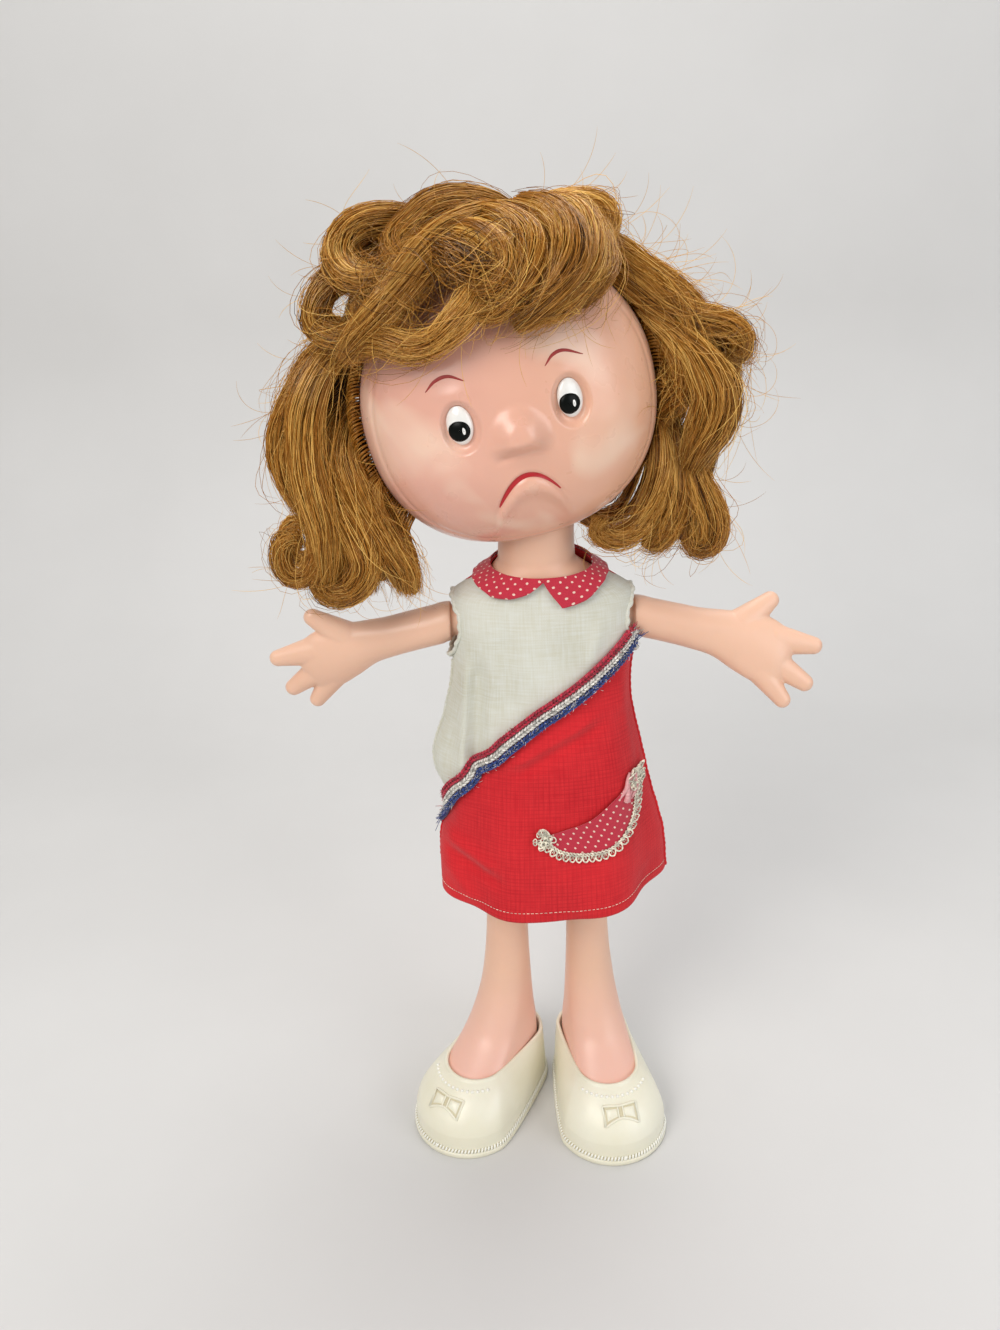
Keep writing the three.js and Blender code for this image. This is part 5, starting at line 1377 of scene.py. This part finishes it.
RIGHT_FILL = [
    [(-58, 0, 21, 5), (-73, 0, 12, 9), (-82, 0, -3, 10), (-84, 0, -18, 10), (-83, 0, -34, 9),
     (-83, 0, -50, 6)],
    [(-59, 0, 1, 5), (-68, 0, -14, 9), (-68, 0, -31, 9), (-67, 0, -48, 8), (-68, 0, -60, 4)],
    [(-50, 3, 34, 5), (-64, 3, 24, 8), (-70, 3, 10, 8), (-69, 3, -6, 8), (-68, 3, -20, 6)],
]
RIGHT_BUNCH = [
    [(-49, -4, 37, 4), (-60, -9, 34, 6), (-69, -12, 27, 7), (-76, -14, 17, 8), (-80, -14, 6, 8),
     (-82, -15, -5, 9), (-82, -16, -17, 9), (-82, -16, -30, 8), (-85, -15, -43, 7), (-89, -12, -56, 4)],
    [(-54, -2, 36, 4), (-67, -6, 32, 7), (-77, -8, 23, 7), (-85, -8, 14, 7), (-90, -8, 4, 7),
     (-91, -8, -7, 7), (-89, -8, -18, 6), (-87, -6, -28, 4)],
    [(-83, -8, -14, 5), (-86, -12, -28, 5), (-90, -14, -39, 4), (-96, -15, -46, 4), (-102, -14, -45, 4),
     (-104, -13, -38, 4), (-101, -12, -31, 4), (-96, -12, -30, 3), (-95, -12, -35, 2)],
    [(-58, 0, 12, 3), (-65, -4, 4, 5), (-69, -9, -6, 7), (-68, -13, -17, 8), (-65, -15, -29, 8),
     (-62, -15, -41, 8), (-59, -13, -53, 7), (-59, -10, -65, 4)],
    [(-76, -8, -14, 5), (-74, -14, -26, 8), (-71, -17, -37, 8), (-71, -18, -47, 7), (-77, -18, -55, 6),
     (-86, -17, -57, 5), (-92, -15, -52, 4), (-89, -14, -46, 4), (-83, -13, -46, 2)],
    [(-62, 2, 17, 4), (-72, -2, 8, 7), (-77, -7, -4, 9), (-76, -10, -17, 9), (-74, -10, -32, 9),
     (-73, -10, -47, 9), (-75, -8, -62, 5)],
    [(-44, -2, 42, 4), (-55, -8, 38, 7), (-65, -8, 33, 7), (-74, -6, 26, 6), (-82, -4, 18, 5),
     (-86, -2, 11, 3)],
    [(-56, -8, -16, 2), (-61, -13, -20, 4), (-62, -15, -30, 5), (-60, -15, -42, 6), (-56, -13, -54, 5),
     (-56, -10, -66, 3)],
]
LEFT_FILL = [
    [(59, 0, 2, 5), (73, 0, -8, 8), (79, 0, -22, 8), (75, 0, -38, 7), (70, 0, -52, 6), (67, 0, -64, 4)],
    [(58, 0, -14, 5), (62, 0, -32, 7), (60, 0, -48, 7), (55, 0, -62, 5)],
]
LEFT_BUNCH = [
    [(53, -8, 25, 3), (62, -14, 15, 4), (69, -18, 6, 6), (74, -20, -4, 9), (77, -22, -15, 11),
     (74, -22, -25, 11), (68, -20, -34, 8), (64, -16, -43, 5)],
    [(67, -10, -34, 4), (66, -14, -45, 6), (68, -16, -55, 7), (70, -17, -65, 7), (68, -16, -74, 6),
     (62, -14, -76, 5), (60, -13, -69, 4), (61, -12, -62, 3)],
    [(56, -6, -20, 3), (55, -12, -31, 5), (52, -15, -42, 6), (46, -15, -53, 6), (38, -15, -61, 5),
     (28, -17, -62, 5), (22, -18, -57, 4), (25, -19, -52, 2)],
    [(59, -6, -24, 4), (59, -11, -37, 6), (57, -14, -50, 7), (52, -14, -62, 7), (46, -12, -70, 5),
     (41, -10, -68, 3)],
    [(44, -6, 42, 4), (55, -12, 31, 6), (64, -14, 21, 6), (74, -14, 14, 6), (83, -12, 10, 6),
     (90, -12, 6, 5), (94, -12, 0, 4), (91, -13, -5, 3), (87, -14, -3, 2)],
    [(41, -4, 48, 4), (53, -9, 39, 6), (63, -12, 28, 6), (70, -14, 16, 6), (73, -15, 5, 5),
     (72, -12, -4, 3)],
    [(61, -8, 12, 3), (66, -13, 5, 5), (67, -17, -2, 5), (67, -16, -10, 5), (61, -13, -16, 4),
     (57, -9, -22, 3)],
    [(52, -2, 32, 5), (70, -2, 19, 7), (81, -2, 7, 7), (87, -4, -3, 6), (88, -4, -12, 5), (85, -6, -19, 4),
     (81, -8, -16, 2)],
    [(34, 0, 50, 4), (48, -6, 46, 6), (58, -8, 36, 7), (70, -8, 24, 7), (80, -6, 14, 5)],
]
STRAND_STEPS = 17
STRAND_TWIST = 0.8  # how far a strand turns round its lock, in radians
WAVE_LENGTH = 42
WAVE_RADIUS = 0.45
GATHERED = 0.36  # how far a wisp's strands close up
LOOSE_SHARE = 0.22
LOCK_FILLING = 0.88
LOCKS_IN_A_PIECE = 4
ROOT_RADIUS = 0.15
FLYAWAY_RADIUS = 0.085
FLYAWAY_STEPS = 24
FLYAWAY_DEPTH = 54  # how far in front of or behind the head's middle a loose hair may reach


def lock_frames(rows, count):
    """Points, radii and turning frames along a lock."""
    line = curve_through(rows, np.linspace(0, 1, count))
    ahead = unit(np.gradient(line[:, :3], axis=0))
    return line[:, :3], np.maximum(line[:, 3], 0.8), ahead, *steady_frames(ahead, [0.1, 1.0, 0.1])


def hair_tubes(points, radius, tint):
    """Three-sided tubes along many strands at once; each tapers to its tip."""
    count, steps = points.shape[:2]
    ahead = unit(np.gradient(points, axis=1))
    normal = unit(np.cross(ahead, [0.31, 0.92, 0.24]))
    side = np.cross(ahead, normal)
    taper = np.interp(np.linspace(0, 1, steps), [0, 0.75, 1], [1, 1, 0.3])
    turn = circle(3)[:, None]
    ring = normal[:, :, None] * np.cos(turn) + side[:, :, None] * np.sin(turn)
    out = points[:, :, None] + ring * (np.reshape(radius, (-1, 1)) * taper)[..., None, None]
    faces = grid_faces(steps, 3, closed=True)[None] + (np.arange(count) * steps * 3)[:, None, None]
    tints = np.repeat(np.broadcast_to(tint, (count, steps))[..., None], 3, axis=2)
    return out.reshape(-1, 3), faces.reshape(-1, 4), tints.ravel()


def strands(rows, count, thick=0.14, fuzz=0.35, flat=0.72, tone=0.0):
    """Fine strands that follow a lock in a few smooth wisps. Returns points, faces and tints."""
    fine = 60
    centre, radius, _, normal, side = lock_frames(rows, fine)
    length = np.linalg.norm(np.diff(centre, axis=0), axis=1).sum()
    start = rng.uniform(0, 0.06, count)
    end = 1 - rng.uniform(0, 0.16, count) ** 1.4
    t = start[:, None] + (end - start)[:, None] * np.linspace(0, 1, STRAND_STEPS)
    spot = t * (fine - 1)
    i = np.clip(spot.astype(int), 0, fine - 2)
    f = (spot - i)[..., None]

    def at(values):
        return values[i] * (1 - f) + values[i + 1] * f

    def varied():
        return rng.uniform(0.8, 1.2, count)[:, None]

    angle = rng.uniform(0, 2 * np.pi, count)[:, None] + STRAND_TWIST * t * varied()
    wisps = rng.integers(11, 17)
    wisp = np.round(angle[:, 0] * wisps / (2 * np.pi)).astype(int) % wisps
    gather = wisp[:, None] * 2 * np.pi / wisps + STRAND_TWIST * t
    apart = (angle - gather + np.pi) % (2 * np.pi) - np.pi
    angle = gather + apart * (1 - GATHERED * smooth(t, 0.05, 0.6))
    out = np.sqrt(rng.uniform(0.3, 1, count))[:, None]
    r = at(radius[:, None] * LOCK_FILLING)[..., 0] * out
    phases, tones = rng.uniform(0, 2 * np.pi, wisps), rng.normal(0, 0.1, wisps)
    turn = phases[wisp][:, None] + t * length / WAVE_LENGTH * 2 * np.pi
    wide = WAVE_RADIUS * smooth(t, 0.05, 0.5) * varied()
    along_n = r * np.cos(angle) + wide * np.cos(turn)
    along_s = r * flat * np.sin(angle) + wide * np.sin(turn)
    points = at(centre) + at(normal) * along_n[..., None] + at(side) * along_s[..., None]
    phase = rng.uniform(0, 2 * np.pi, (3, count, 1))
    pace = rng.uniform(3, 8, (3, count, 1))
    loose = fuzz * np.where(rng.random(count) < LOOSE_SHARE, rng.uniform(2, 6, count), 1)[:, None]
    for axis in range(3):
        points[..., axis] += loose * (0.3 + t) * np.sin(pace[axis] * t + phase[axis])
    tint = rng.normal(0.55 + tone, 0.16, count)[:, None] + tones[wisp][:, None]
    # painted shade: strands deeper in the lock and near their roots are tinted darker
    tint = tint + 0.07 * np.sin(t * 7 + phase[0]) - 0.22 * (1 - smooth(t, 0.0, 0.15)) - 0.5 * (1 - out)
    tint = tint + rng.normal(0, 0.08)
    return hair_tubes(points, thick * rng.uniform(0.75, 1.25, count), tint)


def core(rows):
    """A dark mass inside a lock: painted shade, standing in for the shadow among its strands."""
    steps, around = 40, 14
    centre, radius, _, normal, side = lock_frames(rows, steps)
    turn = circle(around)[None, :, None]
    ends = np.sqrt(np.clip(1 - (np.linspace(-1, 0.96, steps)) ** 8, 0.05, 1))
    r = (radius * 0.62 * ends)[:, None, None]
    ring = centre[:, None] + r * (normal[:, None] * np.cos(turn) + side[:, None] * np.sin(turn) * 0.6)
    return ring.reshape(-1, 3), grid_faces(steps, around, closed=True), np.full(steps * around, 0.4)


def off_the_head(points, gap=0.6):
    """Pushes points out of the head."""
    x, y, z = points.T
    power = HEAD_FULLNESS
    level = (rim_share(x, z) ** power + np.abs(y / (HEAD_HALF[1] + 0.5)) ** power) ** (1 / power)
    edge = 1 + gap / 50
    return points * np.where(level < edge, edge / np.maximum(level, 0.2), 1)[:, None]


def hair_mesh(name, parts, node=None, material=HAIR, slotted=True, clear=True):
    """Several (points, faces, tints) as one piece of hair, clear of the head."""
    points, faces, tints = zip(*parts)
    firsts = np.cumsum([0] + [len(p) for p in points[:-1]])
    faces = np.vstack([f + first for f, first in zip(faces, firsts)])
    points = np.vstack(points)
    points = head_place(off_the_head(points) if clear else points)
    mesh(name, points, faces, material, "head", node, tint=np.concatenate(tints), slotted=slotted)


def hair_piece(name, locks, fill, node, per_lock, **more):
    """A node's locks: the fine strands in a few objects, over darker fill strands and a dark mass, both
    painted shade.
    """
    for first in range(0, len(locks), LOCKS_IN_A_PIECE):
        parts = [strands(rows, per_lock, **more) for rows in locks[first : first + LOCKS_IN_A_PIECE]]
        hair_mesh(f"{name}_{first // LOCKS_IN_A_PIECE + 1}", parts, None if first else node)
    # painted shade: the inner fill strands are tinted darker, as the shaded inside of the hair
    hair_mesh(f"{name}_inner", [strands(rows, 380, tone=-0.3) for rows in fill])
    # painted shade: a dark mass inside every lock and fill stands in for the shadow among the strands
    hair_mesh(f"{name}_under", [core(rows) for rows in locks + fill], material=SHADE_CORE_FIBRE, slotted=False)


def mirrored(locks):
    return [[(x, -y, z, r) for x, y, z, r in rows] for rows in locks]


def root_tufts(side, y, pitch, count, reach):
    """A row of tufts rooted round the rim, each a tight plug, so that the band looks ribbed."""
    t = np.linspace(0, 1, 6)
    for degrees in np.arange(ROOTS[0], ROOTS[1] + 0.1, pitch):
        x, z = (float(v) for v in rim(np.array(math.radians(degrees))))
        away = unit(np.array([x, 0, z]))
        along = np.array([-away[2], 0, away[0]])
        low = 1 - smooth(degrees, 20, 60) + smooth(degrees, 110, 150)
        flow = np.array([0.5 * (1 - low), 0, 0.3 - 1.3 * low])
        spread = rng.normal(0, 1, (count, 3))
        far = (reach * rng.uniform(0.75, 1.1, count))[:, None]
        out = far * (t * (1.35 - 0.5 * t))
        line = np.array([x, 0, z]) * 0.985 + [0, side * y, 0] + away * out[..., None]
        line = line + flow * (far * t**2.2 * 0.5)[..., None]
        line = line + along * (spread[:, :1] * 0.17 * (0.8 + 1.3 * t))[..., None]
        arch = np.sin(np.pi * np.minimum(t * 1.15, 1))
        line[..., 1] += side * 1.6 * arch + spread[:, 1:2] * 0.4 * (0.6 + t)
        # painted shade: each tuft is tinted darker towards the rim where it is rooted
        tint = rng.normal(0.5, 0.09, count)[:, None] - 0.3 * (1 - smooth(t, 0, 0.35)) + rng.normal(0, 0.05)
        yield hair_tubes(line, ROOT_RADIUS, tint)


def make_roots():
    for half, side in (("front", -1), ("back", 1)):
        outer = root_tufts(side, y=9.5, pitch=1.3, count=13, reach=7.0)
        inner = root_tufts(side, y=4.0, pitch=2.2, count=16, reach=8.0)
        parts = [*outer, *inner]
        hair_mesh(f"hair_rooted_band_{half}", parts, "hair_roots" if side < 0 else None, clear=False)


def flyaways(rows, many, reach):
    """Loose single hairs that leave a lock in wide arcs."""
    centre, radius, ahead, normal, side = lock_frames(rows, 40)
    at = rng.integers(3, 38, many)
    angle = rng.uniform(0, 2 * np.pi, many)[:, None]
    out = (normal[at] * np.cos(angle) + side[at] * np.sin(angle)) * [1, 0.5, 1]
    spot = centre[at] + out * radius[at][:, None] * 0.8
    way = unit(out + ahead[at] * rng.uniform(0.4, 1.6, (many, 1)))
    axis = unit(rng.normal(0, 1, (many, 3)) + [0, 2.2, 0])
    bend = rng.choice([-1, 1], (many, 1)) * rng.uniform(0.02, 0.13, (many, 1))
    step = rng.uniform(0.35, 1, (many, 1)) * reach / FLYAWAY_STEPS
    line = []
    for _ in range(FLYAWAY_STEPS):
        line.append(spot)
        spot = spot + way * step
        way = unit(way + np.cross(axis, way) * bend * step)
    tint = rng.normal(0.7, 0.12, many)[:, None]
    line = np.stack(line, 1)
    line[..., 1] = np.clip(line[..., 1], -FLYAWAY_DEPTH, FLYAWAY_DEPTH)
    return hair_tubes(line, FLYAWAY_RADIUS, tint)


def make_hair():
    bunches = {"right": RIGHT_BUNCH, "left": LEFT_BUNCH}
    hair_piece("hair_crown_front_locks", CROWN, CROWN_FILL, "hair_crown_front", 500)
    behind = mirrored(CROWN)
    hair_piece("hair_crown_back_locks", behind, mirrored(CROWN_FILL), "hair_crown_back", 300, thick=0.18)
    hair_piece("hair_right_locks", RIGHT_BUNCH, RIGHT_FILL, "hair_bunch_right_side", 500)
    hair_piece("hair_left_locks", LEFT_BUNCH, LEFT_FILL, "hair_bunch_left_side", 500)
    for half, locks in bunches.items():
        hair_mesh(f"hair_{half}_locks_behind", [strands(rows, 190, thick=0.22) for rows in mirrored(locks)])
    hair_mesh("hair_tangles", [strands(rows, 200, thick=0.12, fuzz=2.4, tone=-0.08) for rows in TANGLES])
    for half, locks in {"crown": CROWN, **bunches}.items():
        loose = [strands(rows, 165, thick=0.1, fuzz=1.5, flat=0.85, tone=0.08) for rows in locks]
        hair_mesh(f"hair_{half}_loose_strands", loose)
    make_roots()
    upper_left = [LEFT_BUNCH[k] for k in (4, 6, 7, 8)]
    places = [(CROWN, 12, 28), (LEFT_BUNCH, 20, 32), (upper_left, 34, 42), (RIGHT_BUNCH, 15, 30),
              (behind, 6, 26)]
    parts = [flyaways(rows, many, reach) for locks, many, reach in places for rows in locks]
    hair_mesh("hair_flyaways", parts, slotted=False)


# Stage, lights and camera: sizes are in metres from here on

FLOOR_HALF = 2.6
BACKDROP_Y = 0.75
BACKDROP_BEND = 0.35
PHOTO = (1000, 1330)  # pixels
SENSOR = 36  # millimetres, as tall as the picture
CAMERA_PLACE = (-0.019, -0.410 + MIDDLE_Y / 1000, 0.4036)
CAMERA_PITCH = 22
CAMERA_ROLL = -2


def make_stage():
    s = Shader("floor", 0.9, 0.1)
    s.colour(s.blend(s.noise(s.place(), 6, 4), (0.60, 0.59, 0.575), (0.66, 0.65, 0.635)))
    start = BACKDROP_Y - BACKDROP_BEND
    profile = [(-FLOOR_HALF, 0.0), (start, 0.0)]
    profile += [(start + BACKDROP_BEND * math.sin(a), BACKDROP_BEND * (1 - math.cos(a)))
                for a in np.linspace(0.1, math.pi / 2, 14)]
    profile.append((BACKDROP_Y, FLOOR_HALF))
    data = bpy.data.meshes.new("backdrop")
    points = [(x, y, z) for y, z in profile for x in (-FLOOR_HALF, FLOOR_HALF)]
    data.from_pydata(points, [], grid_faces(len(profile), 2).tolist())
    data.shade_smooth()
    data.materials.append(s.material)
    linked("backdrop", data)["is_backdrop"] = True


def aim(towards, roll=0.0):
    turn = Vector(towards).to_track_quat("-Z", "Y").to_matrix()
    return (turn @ Matrix.Rotation(math.radians(roll), 3, "Z")).to_euler()


def lamp(name, place, target_z, power, size, colour=(1, 1, 1)):
    light = bpy.data.lights.new(name, "AREA")
    light.energy, light.size, light.color = power, size, colour
    obj = linked(name, light)
    obj.location = place
    obj.rotation_euler = aim(Vector((0, 0, target_z)) - Vector(place))


def make_lights():
    world = bpy.data.worlds.new("studio")
    bpy.context.scene.world = world
    world.use_nodes = True
    sky = world.node_tree.nodes["Background"].inputs
    sky["Color"].default_value = (0.93, 0.96, 1.0, 1)
    sky["Strength"].default_value = 0.42
    lamp("key", (-0.75, -1.0, 1.15), 0.26, 15, 0.85, (1.0, 0.97, 0.93))
    lamp("fill", (1.1, -0.9, 0.75), 0.25, 8, 1.0, (0.95, 0.97, 1.0))
    lamp("top", (0.15, 0.35, 1.5), 0.3, 9, 0.8)


def make_camera():
    camera = bpy.data.cameras.new("camera")
    camera.sensor_fit = "VERTICAL"
    camera.sensor_height = SENSOR
    camera.lens = SENSOR * PHOTO[0] / PHOTO[1]
    camera.clip_start = 0.01
    obj = linked("camera", camera)
    obj.location = CAMERA_PLACE
    pitch = math.radians(CAMERA_PITCH)
    obj.rotation_euler = aim((0, math.cos(pitch), -math.sin(pitch)), CAMERA_ROLL)
    bpy.context.scene.camera = obj


make_head()
for face_side in MOOD:
    make_face(face_side)
make_torso()
for side_name in SIDE:
    make_arm(side_name)
    make_leg(side_name)
    make_shoe(side_name)
make_dress()
make_braid()
for side_name, side_sign in SIDE.items():
    make_collar(side_name, side_sign)
make_pocket()
make_lace()
make_hems()
make_fasteners()
make_hair()
make_stage()
make_lights()
make_camera()
bpy.context.scene.view_settings.view_transform = "Standard"


def numbers(value):
    if hasattr(value, "__len__") and not isinstance(value, str):
        return [numbers(v) for v in (value.values() if isinstance(value, dict) else value)]
    return float(value)


numbers(frame_bounds)
numbers(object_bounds())
